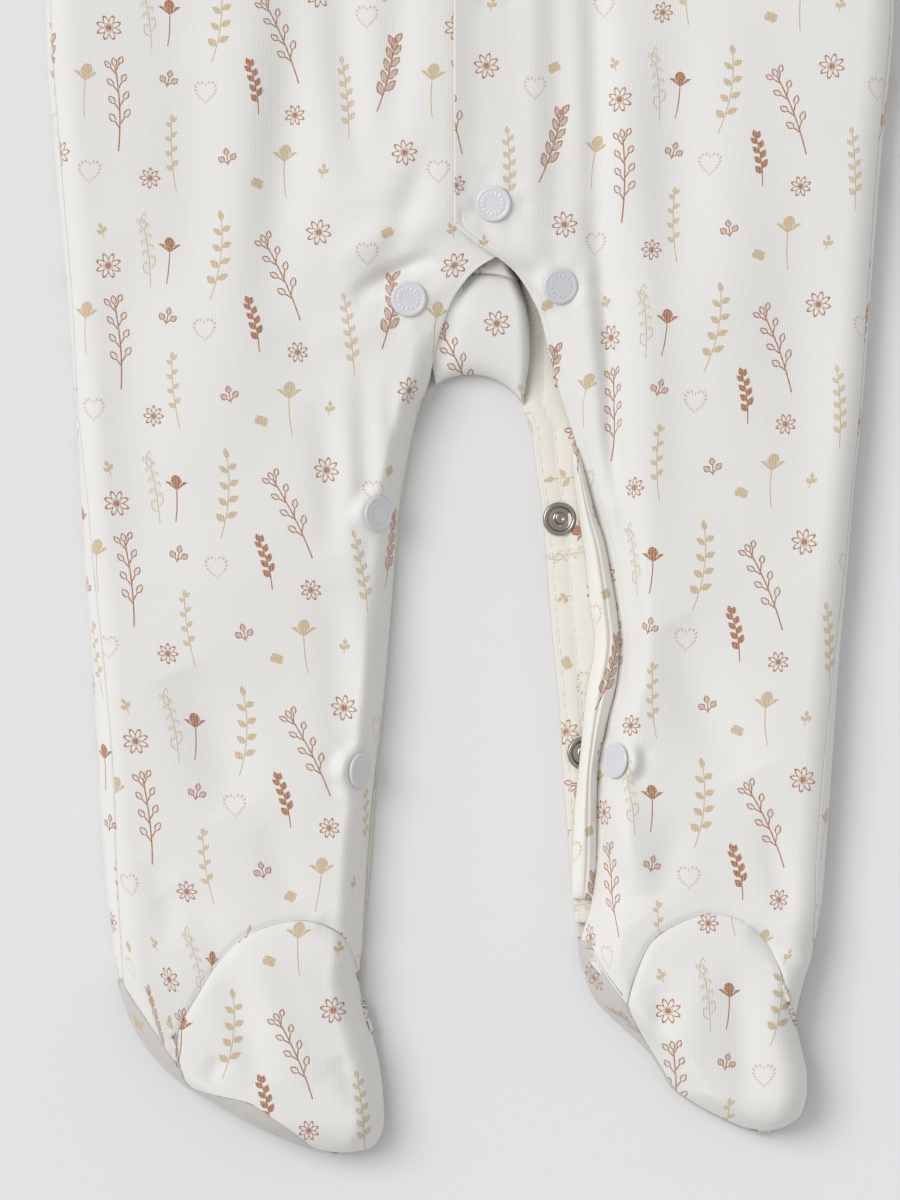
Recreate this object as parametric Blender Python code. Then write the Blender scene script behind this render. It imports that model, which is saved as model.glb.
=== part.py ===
"""Footed baby sleepsuit in thin cotton interlock, laid flat on its back with the head towards +Y.

Sizes are in millimetres and are turned into metres as each piece is made. X runs across the garment,
Y runs from the toes to the neck and is 0 at the top of the crotch arch, and Z is up from the surface.
"Right" and "left" are the wearer's, so the right side is at -X. The left inseam is unsnapped.
Every cloth piece is a sheet of points worked out row by row, with a wall given by a Solidify modifier.
"""

import math

import bmesh
import bpy
import numpy as np
from mathutils import Vector

MM = 0.001
CLOTH = 1.2  # wall of one layer of cloth
GAP = 0.3  # clearance between pieces that touch
TOE_Y = -225.4
NECK_Y = 346.0
ORIGIN_Y = (TOE_Y + NECK_Y) / 2
WIDEST_Z = 4.5  # height of the rolled outer edge where it stands furthest out
LAYER = CLOTH + 2 * GAP  # rise of a layer that lies on another
LOW_LAYER = 2 * CLOTH + GAP  # top of a layer that lies on the back
BAND_WIDTH = 13.0
BAND_WALL = 1.6
BAND_FRONT_Z, BAND_SIDE_Z, BAND_BACK_Z = 12.4, 7.0, 1.2
FLOOR_ROLL = 5.0  # width of the lower half of the rolled edge
RIM_POINTS = 4  # points of a row from the widest line to the seam on top

ARMPIT_Y = 235.0
CHEST = 122.0  # half width at the armpit
SHOULDER = (97.0, 329.0)
NECK_SIDE = (47.0, 340.0)
ARMHOLE_ROLL = 9.0
FRONT_NECK_Y = 300.0
BACK_NECK_X = 25.0
BACK_NECK_Y = 333.0
ANKLE_Y = -138.0  # the front panels are fitted to the foot seams below this line

SLEEVE_LENGTH = 185.0
SLEEVE_ANGLE = math.radians(50)  # from straight down, outwards
CUFF_WIDTH = 52.0
SLEEVE_HEIGHT = 11.0

SNAP_RADIUS = 5.15
SNAP_HEIGHT = 1.3
STUD_RADIUS = 4.9

WHITE = (0.86, 0.84, 0.79)
CREAM = (0.84, 0.78, 0.66)
CAP = (0.82, 0.82, 0.81)
NICKEL = (0.45, 0.42, 0.38)

# The side outline, and how far the seam lies inside it on top, from the armpit to the heel.
SIDES = dict(
    y=(235, 170, 109, 62, 21, -7, -36, -54, -80, -106, -123, -138, -152, -166, -175),
    right=(122, 122, 123, 120.1, 116.3, 114.3, 112.6, 111.7, 109.6, 108.2, 107.3, 106.2, 105, 103.3, 102.1),
    left=(122, 122, 122.7, 118.9, 115.7, 113.7, 110.8, 109.4, 107, 105.2, 104.1, 103, 101.8, 99.2, 96.8),
    right_seam=(2.6, 2.2, 1.9, 1.9, 1.4, 0.8, 2.2, 2.9, 3.7, 4.9, 5.0, 4.1, 3.6, 2.8, 2.0),
    left_seam=(2.6, 2.0, 1.2, 1.2, 1.0, 0.8, 0.8, 1.0, 1.6, 2.6, 3.0, 3.2, 3.2, 2.6, 2.0),
    height=(13, 14, 14, 14, 14, 14.5, 15, 15, 15, 15, 15, 15, 15.5, 16.5, 17),
)

# The inner edge of the right front: under the other front above the crotch, then on the leg's edge.
RIGHT_FRONT = dict(
    y=(235, 60, 44, 36, 30.7, 27, 21, 14.2, 6.4, -2, -9, -21, -42, -65, -91, -123, -138, -152, -166, -174),
    edge=(-17, -17, -17, -11, -2.6, 1.2, 5.2, 7.8, 10.2, 11.8, 14.4, 17.4, 20.9, 22.6, 24.7, 28.4, 29.6,
          30.5, 31.3, 32),
    low=(12.6, 13.8, 13.8, 13.6, 13.4, 13, 12, 11, 9.5, 7.0, 3.6, 2, 2, 2, 2, 2, 2, 2.4, 3.4, 4.2),
    lean=(12, 12, 12, 12, 12, 12, 12, 12, 12, 11, 11, 12, 12, 12, 12, 12, 12, 12, 12, 12),
)

# The inner edge of the left front: at the centre front, round the crotch, then in the open inseam's valley.
LEFT_FRONT = dict(
    y=(235, 60, 44, 38.6, 34.2, 29.3, 23.2, 16.5, 7, -4, -21, -40, -48, -59, -68, -78, -88, -103, -118, -138,
       -152, -162, -166),
    edge=(-4.4, -4.4, -4.4, 0.6, 6.7, 12.8, 17.1, 20.3, 22.6, 25.5, 31, 36, 38.6, 40.8, 42.3, 43.2, 42.4,
          38.9, 36.6, 36.4, 35.2, 32.4, 31.4),
    low=(15.8, 15.8, 15.8, 15.8, 15.6, 13.4, 11.4, 10, 8.4, 7, 5.2, 4.6, 4.6, 4.6, 4.6, 4.6, 4.6, 4.6, 4.6,
         4.4, 4.4, 4.4, 4.2),
    lean=(8, 8, 8, 10, 12, 14, 16, 16, 16, 15, 13, 10, 10, 10, 10, 9, 9, 9, 10, 11, 12, 12, 12),
)

# The open left inseam: the back's own edge, and the free edge of the front's rolled placket.
BACK_INSEAM = dict(
    y=(-16.5, -41, -74, -94.5, -123, -148, -159, -166),
    right=(17.0, 20.2, 23.2, 24.9, 27.6, 29.4, 30.4, 30.8),
    left=(18.2, 21.2, 23.8, 25.8, 27.6, 29.6, 30.5, 31.2),
)
PLACKET_EDGE = dict(
    y=(-24, -41, -52, -68, -76, -83, -90.5, -101.5, -118, -132, -146, -157),
    x=(29.6, 31.4, 33.2, 34.8, 36.0, 35.4, 33.8, 32.6, 31, 29.8, 29.4, 29.8),
)
PLACKET_WIDTH = 20.0
FACING_TOP_ROWS = (24, 12, 0, -8, -16.5)  # rows of the facing above the legs' inseam
PLACKET_START = -46.0
PLACKET_END = -157.0
PLACKET_BASE = 4.4
PLACKET_TOP = 11.0  # height of the rolled placket's crown

ARCH_WIDTH = 17.3  # half width of the crotch arch
ARCH_HEIGHT = 16.5
TAB_HEIGHT = 6.6
TAB_LEAN = 9.0  # how far out the tab reaches its full height
TAB_FOLD_X = 16.4
# The crotch tab follows the arch: how far out each row lies, and how far to the left it starts.
TAB = dict(
    out=(0.0, 1.2, 3.3, 6.0, 9.0, 13.0, 17.0, 22.0, 28.0, 35.0),
    start=(9.6, 9.7, 9.8, 11.5, 14.5, 16.0, 16.0, 15.5, 14.0, 12.0),
)

# Foot outlines below the ankle: the side towards -X, the side towards +X, and the sole's seam on top.
RIGHT_FOOT = dict(
    y=(-166, -175, -185, -192, -200, -205.6, -210.3, -215.8, -220, -223.6, -225.4),
    low_x=(-103.3, -102.1, -99, -95.6, -89.4, -82.9, -74.8, -65.5, -56.3, -47.6, -40),
    high_x=(-31.3, -32.2, -30.3, -28.1, -26.2, -25.4, -25, -24.8, -25.8, -28.4, -34),
    seam=(2.0, 2.2, 4.8, 6.6, 5.6, 2.5, 12.2, 11.0, 7.4, 3.0, 1.0),
)
LEFT_FOOT = dict(
    y=(-166, -175, -181, -187, -192, -197, -202, -207, -211, -214.5, -217.5, -219.2),
    low_x=(31.4, 33.6, 36.2, 42, 47.6, 52.4, 55.6, 58.8, 64.6, 71, 77.6, 83),
    high_x=(99.2, 96.8, 95.3, 94.2, 95.2, 96.4, 97.4, 97.5, 96.8, 95.4, 91, 87.5),
    seam=(4.0, 6.5, 8.0, 3.4, 0.8, 0.6, 0.6, 0.6, 0.6, 0.6, 0.6, 0.6),
)
FOOT_HEIGHT = 19.0
INSTEP_Y = -150.0  # where the leg's height begins to rise to the foot's
INSTEP_LENGTH = 40.0
BACK_END = -163.0  # where the back meets the soles
SOLE_TOP = BACK_END - 2 * GAP
ARCH_COLUMNS = 12
ARCH_PLACES = (*np.linspace(0, 0.88, ARCH_COLUMNS), 1.0)  # a front ends just short of the arch's last point
TOE_ROLL = 12.0
TOE_MARGIN = 0.4
# Foot seams in plan: the vamp's arch, and the leg's seam to the sole beside it.
RIGHT_ARCH = ((-33, -173), (-38, -161.6), (-48, -157.6), (-56.3, -158.7), (-65.5, -162.6),
              (-71.3, -168.2), (-78.9, -179.8), (-82.9, -187), (-84.6, -195), (-82.8, -202))
RIGHT_LEG_SEAM = ((-98.8, -176.5), (-92.4, -184), (-88.4, -190.5), (-86.6, -193.6))
LEFT_ARCH = ((46.1, -179), (48.4, -171.4), (52.5, -163.4), (57.4, -159.8), (63.2, -157),
             (69, -155.6), (76.6, -157), (84, -162.4), (89.6, -170), (92.6, -181))
LEFT_LEG_SEAM = ((36.5, -168), (39.8, -173.5), (43.6, -179))
# Heights of the points along a vamp's toe edge: on the side with the sole's seam, and on the other.
TOE_POINTS = dict(
    right=((-204.6, -206.4, -208.4, -212, -217, -221, -223.8),
           (-178, -185, -192, -200, -208, -215, -220, -223.4)),
    left=((-190.6, -194, -198, -203, -208, -212, -215.5, -218), (-186, -191, -197, -203, -209, -214, -217.4)),
)

# Where the left front lies on the right front's placket: its far side, and how soon it is lifted.
OVERLAP_X = 24.0
OVERLAP_Y = 30.0
OVERLAP_RAMP = 6.0

# The largest folds of the fronts: both ends in plan, half width, and depth (a ridge is negative).
FOLDS = dict(
    x0=(-52, -38, -33, 34, 58),
    y0=(109, 109, 22, 62, -77),
    x1=(-60, -30, -6, 43, 80),
    y1=(15, 52, 34, -42, -115),
    width=(9, 7, 5, 5, 9),
    depth=(2.2, 1.8, 3.0, 3.2, 1.6),
)

# Snap caps on the inseams, each on its side's front.
INSEAM_CAPS = dict(
    name=("right_top", "right_knee", "right_shin", "left_top", "left_shin"),
    x=(-17.7, -26.9, -32.2, 25.8, 42.4),
    y=(21.5, -40.3, -114.3, 25.2, -111.6),
)
FIRST_FRONT_CAP = (6.7, 48.7)
FRONT_CAP_STEP = 66.5
FRONT_CAPS = 4
STUDS = ((25.9, -41.8), (33.0, -109.6))


def clear_scene():
    for thing in list(bpy.data.objects):
        bpy.data.objects.remove(thing)


def material(name, colour, roughness=0.85, metallic=0.0):
    made = bpy.data.materials.new(name)
    made.use_nodes = True
    shader = made.node_tree.nodes["Principled BSDF"]
    shader.inputs["Base Color"].default_value = (*colour, 1)
    shader.inputs["Roughness"].default_value = roughness
    shader.inputs["Metallic"].default_value = metallic
    return made


def along(table, column, y):
    """A table's column at height y: a smooth curve through its rows, which run downwards. The slope at a
    row is the harmonic mean of its neighbours' slopes, so the curve never overshoots a row."""
    ys = np.array(table["y"], float)[::-1]
    values = np.array(table[column], float)[::-1]
    secants = np.diff(values) / np.diff(ys)
    product = np.maximum(secants[1:] * secants[:-1], 0)
    total = secants[1:] + secants[:-1]
    slopes = np.zeros(len(ys))
    slopes[1:-1] = 2 * product / np.where(product > 0, total, 1)
    y = np.clip(y, ys[0], ys[-1])
    k = np.clip(np.searchsorted(ys, y) - 1, 0, len(ys) - 2)
    span = ys[k + 1] - ys[k]
    t = (y - ys[k]) / span
    rise = t * t * (3 - 2 * t)
    bend = t * (1 - t) * span
    return (values[k] * (1 - rise) + values[k + 1] * rise
            + bend * ((1 - t) * slopes[k] - t * slopes[k + 1]))


def rounded(t):
    """A quarter circle: 0 at t = 0, where it is upright, and 1 from t = 1 on, where it is level."""
    return np.sqrt(1 - (1 - np.clip(t, 0, 1)) ** 2)


def leaning(t):
    """A quarter sine: a steep slope at t = 0 that is level from t = 1 on."""
    return np.sin(np.clip(t, 0, 1) * math.pi / 2)


def folds(x, y):
    """How far the fronts' folds lower their surface at x, y."""
    low = np.zeros(np.shape(x))
    for x0, y0, x1, y1, width, depth in zip(*FOLDS.values(), strict=True):
        length = math.hypot(x1 - x0, y1 - y0)
        way = ((x1 - x0) / length, (y1 - y0) / length)
        s = np.clip(((x - x0) * way[0] + (y - y0) * way[1]) / length, 0, 1)
        off = np.hypot(x - x0 - s * (x1 - x0), y - y0 - s * (y1 - y0))
        low = low + depth * np.exp(-((off / width) ** 2)) * np.sin(math.pi * (0.15 + 0.7 * s))
    return low


def outline(y, side):
    """The outer edge at height y, as a distance from the middle, on the trunk, the leg and the foot."""
    foot, column, sign = foot_of(side)
    body = along(SIDES, side, y)
    below = sign * along(foot, column, y)
    return np.where(y > foot["y"][0], body, below)


def foot_of(side):
    """A side's foot table, the column of its outer edge, and the sign of x on that side."""
    return (RIGHT_FOOT, "low_x", -1) if side == "right" else (LEFT_FOOT, "high_x", 1)


def inner_edge(y, side, front):
    """The inner edge of a front at height y, on the leg and the foot."""
    foot, _, sign = foot_of(side)
    column = "high_x" if side == "right" else "low_x"
    below = sign * along(foot, column, y)
    return np.where(y > foot["y"][0], along(front, "edge", y), below)


def front_height(x, y, side):
    """The outer surface of a front or a vamp: the cloth rolls up from the outer edge and leans up from
    the inner one, and it rolls down again at the toe and the shoulder."""
    sign = -1 if side == "right" else 1
    front = RIGHT_FRONT if side == "right" else LEFT_FRONT
    foot = foot_of(side)[0]
    across = sign * x
    away_out = outline(y, side) - across
    away_in = across - inner_edge(y, side, front)
    corner = np.hypot(across - CHEST, y - ARMPIT_Y)
    away_out = np.where(y > ARMPIT_Y, corner, away_out)
    roll = rounded(away_out / ARMHOLE_ROLL)
    toe = rounded((y - foot["y"][-1] + TOE_MARGIN) / TOE_ROLL)
    shoulder_slope = (NECK_SIDE[1] - SHOULDER[1]) / (SHOULDER[0] - NECK_SIDE[0])
    shoulder_y = SHOULDER[1] + shoulder_slope * (SHOULDER[0] - across)
    shoulder = np.where(across > NECK_SIDE[0], rounded((shoulder_y - y) / ARMHOLE_ROLL), 1)
    blend = np.clip((INSTEP_Y - y) / INSTEP_LENGTH, 0, 1)
    full = along(SIDES, "height", y) * (1 - blend) + FOOT_HEIGHT * blend
    low = along(front, "low", y)
    rise = leaning(away_in / along(front, "lean", y))
    upper = low + (full - low) * rise
    z = WIDEST_Z + (upper - WIDEST_Z) * roll * toe * shoulder
    z = np.where(upper < WIDEST_Z, upper, z)
    return z - folds(x, y) * roll * rise


def overlap_rise(x, y):
    """How much the left front is lifted where it lies on the right front's placket."""
    across = np.clip((OVERLAP_X - x) / OVERLAP_RAMP, 0, 1)
    return LAYER * across * np.clip((y - OVERLAP_Y) / OVERLAP_RAMP, 0, 1)


def sheet(name, points, colour, flip=False, wall=CLOTH):
    """One sheet of cloth from rows of points. The wall grows from its outer face inwards."""
    rows, columns = points.shape[:2]
    mesh = bpy.data.meshes.new(name)
    shaped = bmesh.new()
    verts = [
        [shaped.verts.new((p[0] * MM, (p[1] - ORIGIN_Y) * MM, p[2] * MM)) for p in row]
        for row in points
    ]
    for j in range(rows - 1):
        for i in range(columns - 1):
            corners = (verts[j][i], verts[j][i + 1], verts[j + 1][i + 1], verts[j + 1][i])
            shaped.faces.new(corners[::-1] if flip else corners)
    bmesh.ops.remove_doubles(shaped, verts=shaped.verts, dist=1e-6)
    shaped.to_mesh(mesh)
    shaped.free()
    return cloth_object(name, mesh, colour, wall)


def cloth_object(name, mesh, colour, wall=CLOTH):
    """A named object that gives a mesh of the outer face its wall and its smooth shading."""
    mesh.shade_smooth()
    piece = bpy.data.objects.new(name, mesh)
    bpy.context.collection.objects.link(piece)
    piece.data.materials.append(colour)
    thickness = piece.modifiers.new("wall", "SOLIDIFY")
    thickness.thickness = wall * MM
    thickness.offset = -1
    return piece


def spread(columns):
    """Column places from 0 to 1 that crowd towards both ends, where the cloth is steep."""
    t = np.linspace(0, 1, columns)
    return t - 0.115 * np.sin(2 * math.pi * t)


def resampled(points, places):
    """Points at the given shares of a polyline's length."""
    points = np.array(points, float)
    steps = np.hypot(*np.diff(points, axis=0).T)
    walked = np.concatenate(([0], np.cumsum(steps))) / steps.sum()
    return np.stack([np.interp(places, walked, points[:, k]) for k in (0, 1)], -1)


def front_panel(side, colour, columns=16):
    """A front: rows across the trunk and leg, then rows that bend to the shoulder and to the foot."""
    sign = -1 if side == "right" else 1
    front = RIGHT_FRONT if side == "right" else LEFT_FRONT
    places = spread(columns)

    def level(y):
        inner = along(front, "edge", y)
        outer = along(SIDES, side, y) - along(SIDES, side + "_seam", y) - GAP
        return np.stack([sign * (inner + (outer - inner) * places), np.full(columns, y)], -1)

    neck_x = np.linspace(along(front, "edge", ARMPIT_Y), NECK_SIDE[0], 9)
    neck = list(zip(neck_x, neckline(neck_x), strict=True))
    top = resampled(neck + [(SHOULDER[0] - GAP, SHOULDER[1])], places) * (sign, 1)
    bottom = foot_edge(side, columns)
    rows = [level(ARMPIT_Y) * (1 - t) + top * t for t in (1, 0.92, 0.75, 0.5, 0.25, 0.08)]
    rows += [level(y) for y in row_heights()]
    rows += [level(ANKLE_Y) * (1 - t) + bottom * t for t in (0.25, 0.5, 0.75, 1)]
    plan = np.array(rows)
    x, y = plan[..., 0], plan[..., 1]
    z = front_height(x, y, side) + (overlap_rise(x, y) if side == "left" else 0)
    return sheet(f"front_{side}", np.stack([x, y, z], -1), colour, flip=side == "left")


def neckline(x):
    """The fronts' neckline: a quarter ellipse from the lowest point at the centre to the shoulder."""
    depth = NECK_SIDE[1] - FRONT_NECK_Y
    return FRONT_NECK_Y + depth * (1 - np.sqrt(1 - np.minimum(1, (x / NECK_SIDE[0]) ** 2)))


def row_heights():
    """Heights of the shared rows from the armpit to the ankle, closer together round the crotch."""
    trunk, crotch = np.linspace(ARMPIT_Y, 60, 8), np.arange(46, -22, -6)
    return np.concatenate((trunk, crotch, np.linspace(-28, ANKLE_Y, 9)))


def foot_edge(side, columns):
    """The lower edge of a front: along the vamp's arch and then, beside it, along the sole."""
    seam = RIGHT_LEG_SEAM[::-1] if side == "right" else LEFT_LEG_SEAM
    seam = resampled(seam, np.linspace(0, 1, columns - ARCH_COLUMNS))
    arch = resampled(RIGHT_ARCH if side == "right" else LEFT_ARCH, ARCH_PLACES[:-1])
    return np.concatenate((arch, seam) if side == "right" else (seam, arch))


def vamp(side, colour, rows=7):
    """The upper of a foot: a lens between the arch seam and the toe edge."""
    arch = RIGHT_ARCH if side == "right" else LEFT_ARCH
    start, end = resampled(arch, ARCH_PLACES), resampled(toe_edge(side), ARCH_PLACES)
    inwards = start.mean(axis=0) - start
    start = start + 1.5 * GAP * inwards / np.hypot(*inwards.T)[:, None]
    t = np.sin(np.linspace(0, math.pi / 2, rows))[:, None, None]
    plan = start * (1 - t) + end * t
    x, y = plan[..., 0], plan[..., 1]
    return sheet(f"vamp_{side}", np.stack([x, y, front_height(x, y, side)], -1), colour,
                 flip=side == "left")


def toe_edge(side):
    """The vamp's outer edge: down one side of the foot, round the toe and up the other. On the side
    towards -X it follows the sole's seam, and on the other the outline."""
    foot = foot_of(side)[0]
    low, high = TOE_POINTS[side]
    seamed = [(along(foot, "low_x", y) + along(foot, "seam", y) + 4 * GAP, y + 4 * GAP) for y in low]
    plain = [(along(foot, "high_x", y), y) for y in high]
    toe = [((foot["low_x"][-1] + foot["high_x"][-1]) / 2, foot["y"][-1] + 2 * GAP)]
    return plain + toe + seamed[::-1] if side == "right" else seamed + toe + plain[::-1]


def sole(side, colour, columns=12, rim=4):
    """The sole: a shallow tray under the foot, whose rim comes up over the side towards -X to its seam."""
    foot = foot_of(side)[0]
    front = RIGHT_FRONT if side == "right" else LEFT_FRONT
    rows = []
    for y in (SOLE_TOP, -170, *foot["y"][1:]):
        left, right = along(foot, "low_x", y), along(foot, "high_x", y)
        x = np.concatenate((left + along(foot, "seam", y) * np.linspace(1, 0, rim)[:-1],
                            left + (right - left) * spread(columns)))
        toe = rounded((y - foot["y"][-1]) / FLOOR_ROLL)
        inner = min(along(front, "low", y), WIDEST_Z) - LAYER - GAP
        edge = np.where(x < (left + right) / 2, WIDEST_Z, inner if side == "right" else WIDEST_Z - 2 * GAP)
        level = edge * (1 - rounded((x - left) / FLOOR_ROLL) * rounded((right - x) / FLOOR_ROLL) * toe)
        z = np.concatenate((front_height(x[: rim - 1], y, side), level[rim - 1 :]))
        rows.append(np.stack([x, np.full(len(x), y), z], -1))
    return sheet(f"sole_{side}", np.array(rows), colour)


def floor_height(away, roll=FLOOR_ROLL):
    """The underside: level, then rolling up to the widest line at the edge."""
    return WIDEST_Z * (1 - rounded(away / roll))


def floor_row(left, right, y, seams, columns, sides=("right", "left")):
    """One row of the back, from the seam on top of one edge, round it and along the floor.
    A side that is None has no rolled edge: the cloth lies flat there."""
    x = [left + seams[0] * (1 - t) for t in np.linspace(0, 1, RIM_POINTS)] if sides[0] else []
    z = [front_height(np.array(p), y, sides[0]) for p in x]
    floor = left + (right - left) * spread(columns)
    from_left = floor - left if sides[0] else FLOOR_ROLL
    from_right = right - floor if sides[1] else FLOOR_ROLL
    level = floor_height(np.minimum(from_left, from_right)) * np.ones(columns)
    skip = slice(1 if sides[0] else 0, -1 if sides[1] else None)
    x += list(floor[skip])
    z += list(level[skip])
    if sides[1]:
        rim = [right - seams[1] * t for t in np.linspace(0, 1, RIM_POINTS)]
        x += rim
        z += [front_height(np.array(p), y, sides[1]) for p in rim]
    return np.array([(a, y, b) for a, b in zip(x, z, strict=True)], float)


def back_panel(colour, columns=16):
    """The back: one sheet under the trunk and both legs, rolled up at the sides to the side seams."""
    shaped = bmesh.new()

    def stitch(rows):
        verts = [
            [shaped.verts.new((p[0] * MM, (p[1] - ORIGIN_Y) * MM, p[2] * MM)) for p in row]
            for row in rows
        ]
        for upper, lower in zip(verts, verts[1:]):
            for i in range(len(upper) - 1):
                shaped.faces.new((upper[i], upper[i + 1], lower[i + 1], lower[i]))

    def seams(y):
        return along(SIDES, "right_seam", y), along(SIDES, "left_seam", y)

    def trunk(y):
        left, right = -along(SIDES, "right", y), along(SIDES, "left", y)
        return floor_row(left, right, y, seams(y), 2 * columns + 1)

    low = row_heights()[row_heights() > 1]
    armpit = trunk(ARMPIT_Y)
    share = (armpit[:, 0] + CHEST) / (2 * CHEST)
    half_line = [(BACK_NECK_X, BACK_NECK_Y), NECK_SIDE, SHOULDER]
    line = [(-x, y) for x, y in half_line[::-1]] + half_line
    top = resampled(line, np.linspace(0, 1, len(armpit)))
    upper = []
    for t in (1, 0.95, 0.85, 0.6, 0.35, 0.1):
        plan = armpit[:, :2] * (1 - t) + top * t
        seamed = np.abs(plan[:, 0]) > NECK_SIDE[0] - 2
        under = np.where(seamed, floor_height((1 - t) * (SHOULDER[1] - ARMPIT_Y) + LAYER), 0)
        corner = floor_height(np.hypot(np.abs(plan[:, 0]) - CHEST, plan[:, 1] - ARMPIT_Y))
        upper.append(np.column_stack((plan, np.maximum(under, corner))))
    rows = upper + [trunk(y) for y in low]
    stitch(rows)
    crotch = rows[-1]
    middle = len(crotch) // 2
    for side in ("right", "left"):
        legs = [crotch[: middle + 1] if side == "right" else crotch[middle:]]
        heights = [y for y in row_heights() if y < 1] + [-152, BACK_END]
        for y in heights:
            inner = leg_inside(y, side)
            outer = float(along(SIDES, side, y))
            if side == "right":
                row = floor_row(-outer, -inner, y, seams(y), columns + 1, ("right", None))
            else:
                row = floor_row(inner, outer, y, seams(y), columns + 1, (None, "left"))
            legs.append(row)
        stitch(legs)
    bmesh.ops.remove_doubles(shaped, verts=shaped.verts, dist=1e-6)
    mesh = bpy.data.meshes.new("back")
    shaped.to_mesh(mesh)
    shaped.free()
    return cloth_object("back", mesh, colour)


def leg_inside(y, side):
    """The back's inner edge on a leg: an arch at the crotch, then the inseam."""
    if y <= -ARCH_HEIGHT:
        return float(along(BACK_INSEAM, side, y))
    return max(ARCH_WIDTH * math.sqrt(max(0.0, 1 - (1 + y / ARCH_HEIGHT) ** 2)), 2 * GAP)


def crotch_tab(colour, columns=12):
    """The back's tab that folds up through the crotch: rows that follow the arch, under both fronts."""
    rows = []
    for out, start in zip(TAB["out"], TAB["start"], strict=True):
        wide, high = ARCH_WIDTH + out, ARCH_HEIGHT + out
        angles = np.linspace(math.acos(-start / wide), math.acos(TAB_FOLD_X / wide), columns)
        z = np.full(columns, LOW_LAYER + (TAB_HEIGHT - LOW_LAYER) * leaning(out / TAB_LEAN))
        rows.append(np.stack([wide * np.cos(angles), high * np.sin(angles) - ARCH_HEIGHT, z], -1))
    return sheet("crotch_tab", np.array(rows), colour, flip=True)


def back_placket(colour, columns=5):
    """The facing sewn along the back's open inseam: a flat strip on the back, up under the left front."""
    rows = []
    for y in (*FACING_TOP_ROWS, *np.linspace(-28, PLACKET_END, 12)):
        beside_tab = TAB_FOLD_X + 0.5 + 1.3 * np.clip((6 - y) / 22, 0, 1)
        left = GAP + (along(BACK_INSEAM, "left", y) if y < -16 else beside_tab)
        x = np.linspace(left, left + PLACKET_WIDTH, columns)
        rows.append(np.stack([x, np.full(columns, y), np.full(columns, LOW_LAYER)], -1))
    return sheet("back_placket", np.array(rows), colour, flip=True)


def front_placket(colour, columns=8):
    """The left front's free placket, rolled up on its edge along the open inseam: an arched strip."""
    rows = []
    s = np.linspace(0, 1, columns)
    for y in np.linspace(PLACKET_START, PLACKET_END + 6, 13):
        left, right = along(PLACKET_EDGE, "x", y), along(LEFT_FRONT, "edge", y) - 2 * GAP
        z = PLACKET_BASE + (PLACKET_TOP - PLACKET_BASE) * np.sqrt(np.sin(math.pi * s))
        rows.append(np.stack([left + (right - left) * s, np.full(columns, y), z], -1))
    return sheet("front_placket", np.array(rows), colour, flip=True)


def sleeve(side, colour, half=11, rows=8):
    """A sleeve: flattened rings from the armhole's line to the cuff's, open at both ends."""
    sign = -1 if side == "right" else 1
    way = np.array((math.sin(SLEEVE_ANGLE), -math.cos(SLEEVE_ANGLE)))
    armhole = np.array(((CHEST, ARMPIT_Y), SHOULDER)) + (5 * GAP, GAP)
    cuff_middle = armhole.mean(axis=0) + SLEEVE_LENGTH * way
    side_way = np.array((-way[1], way[0])) * -CUFF_WIDTH / 2
    cuff = np.array((cuff_middle + side_way, cuff_middle - side_way))
    cuff = cuff if cuff[0, 1] < cuff[1, 1] else cuff[::-1]
    s = np.linspace(0, 1, half)
    s = s - 0.1 * np.sin(2 * math.pi * s)
    rings = []
    for t in np.linspace(0, 1, rows):
        ends = armhole * (1 - t) + cuff * t
        width = math.dist(*ends)
        crown = along(SIDES, "height", ARMPIT_Y) * (1 - t) + SLEEVE_HEIGHT * t
        near = rounded(s * width / ARMHOLE_ROLL) * rounded((1 - s) * width / ARMHOLE_ROLL)
        under = rounded(s * width / FLOOR_ROLL) * rounded((1 - s) * width / FLOOR_ROLL)
        plan = ends[0] + (ends[1] - ends[0]) * s[:, None]
        top = np.column_stack((plan, WIDEST_Z + (crown - WIDEST_Z) * near))
        bottom = np.column_stack((plan, WIDEST_Z * (1 - under)))
        rings.append(np.concatenate((top, bottom[-2::-1])) * (sign, 1, 1))
    return sheet(f"sleeve_{side}", np.array(rings), colour, flip=side == "left")


def neckband(colour, steps=36):
    """The neckband: a ring of folded rib, high along the fronts' neckline and low along the back's."""
    a = np.linspace(0, 2 * math.pi, steps + 1)
    front = np.cos(a) > 0
    swing = np.abs(np.cos(a))
    rows = []
    for t in (0, 0.5, 1):
        x = (NECK_SIDE[0] - 0.5) * (1 - 0.25 * t) * np.sin(a)
        low = neckline(np.abs(x) / (1 - 0.25 * t)) + 1.0 + BAND_WIDTH * t
        high = BACK_NECK_Y + 1.5 + 7.6 * np.clip((np.abs(x) - 20) / 22, 0, 1)
        high = high + (NECK_Y - high) * t
        side = NECK_SIDE[1] + 1.6 + (NECK_Y - NECK_SIDE[1] - 2.2) * t
        y = np.where(front, np.minimum(low, side), np.maximum(high, side * (1 - swing) + high * swing))
        over = BAND_SIDE_Z + (BAND_FRONT_Z - BAND_SIDE_Z) * swing
        under = BAND_SIDE_Z - (BAND_SIDE_Z - BAND_BACK_Z) * np.minimum(1, 1.3 * swing) ** 2
        z = np.where(front, over, under)
        rows.append(np.stack([x, y, z], -1))
    return sheet("neckband", np.array(rows), colour, wall=BAND_WALL)


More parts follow.
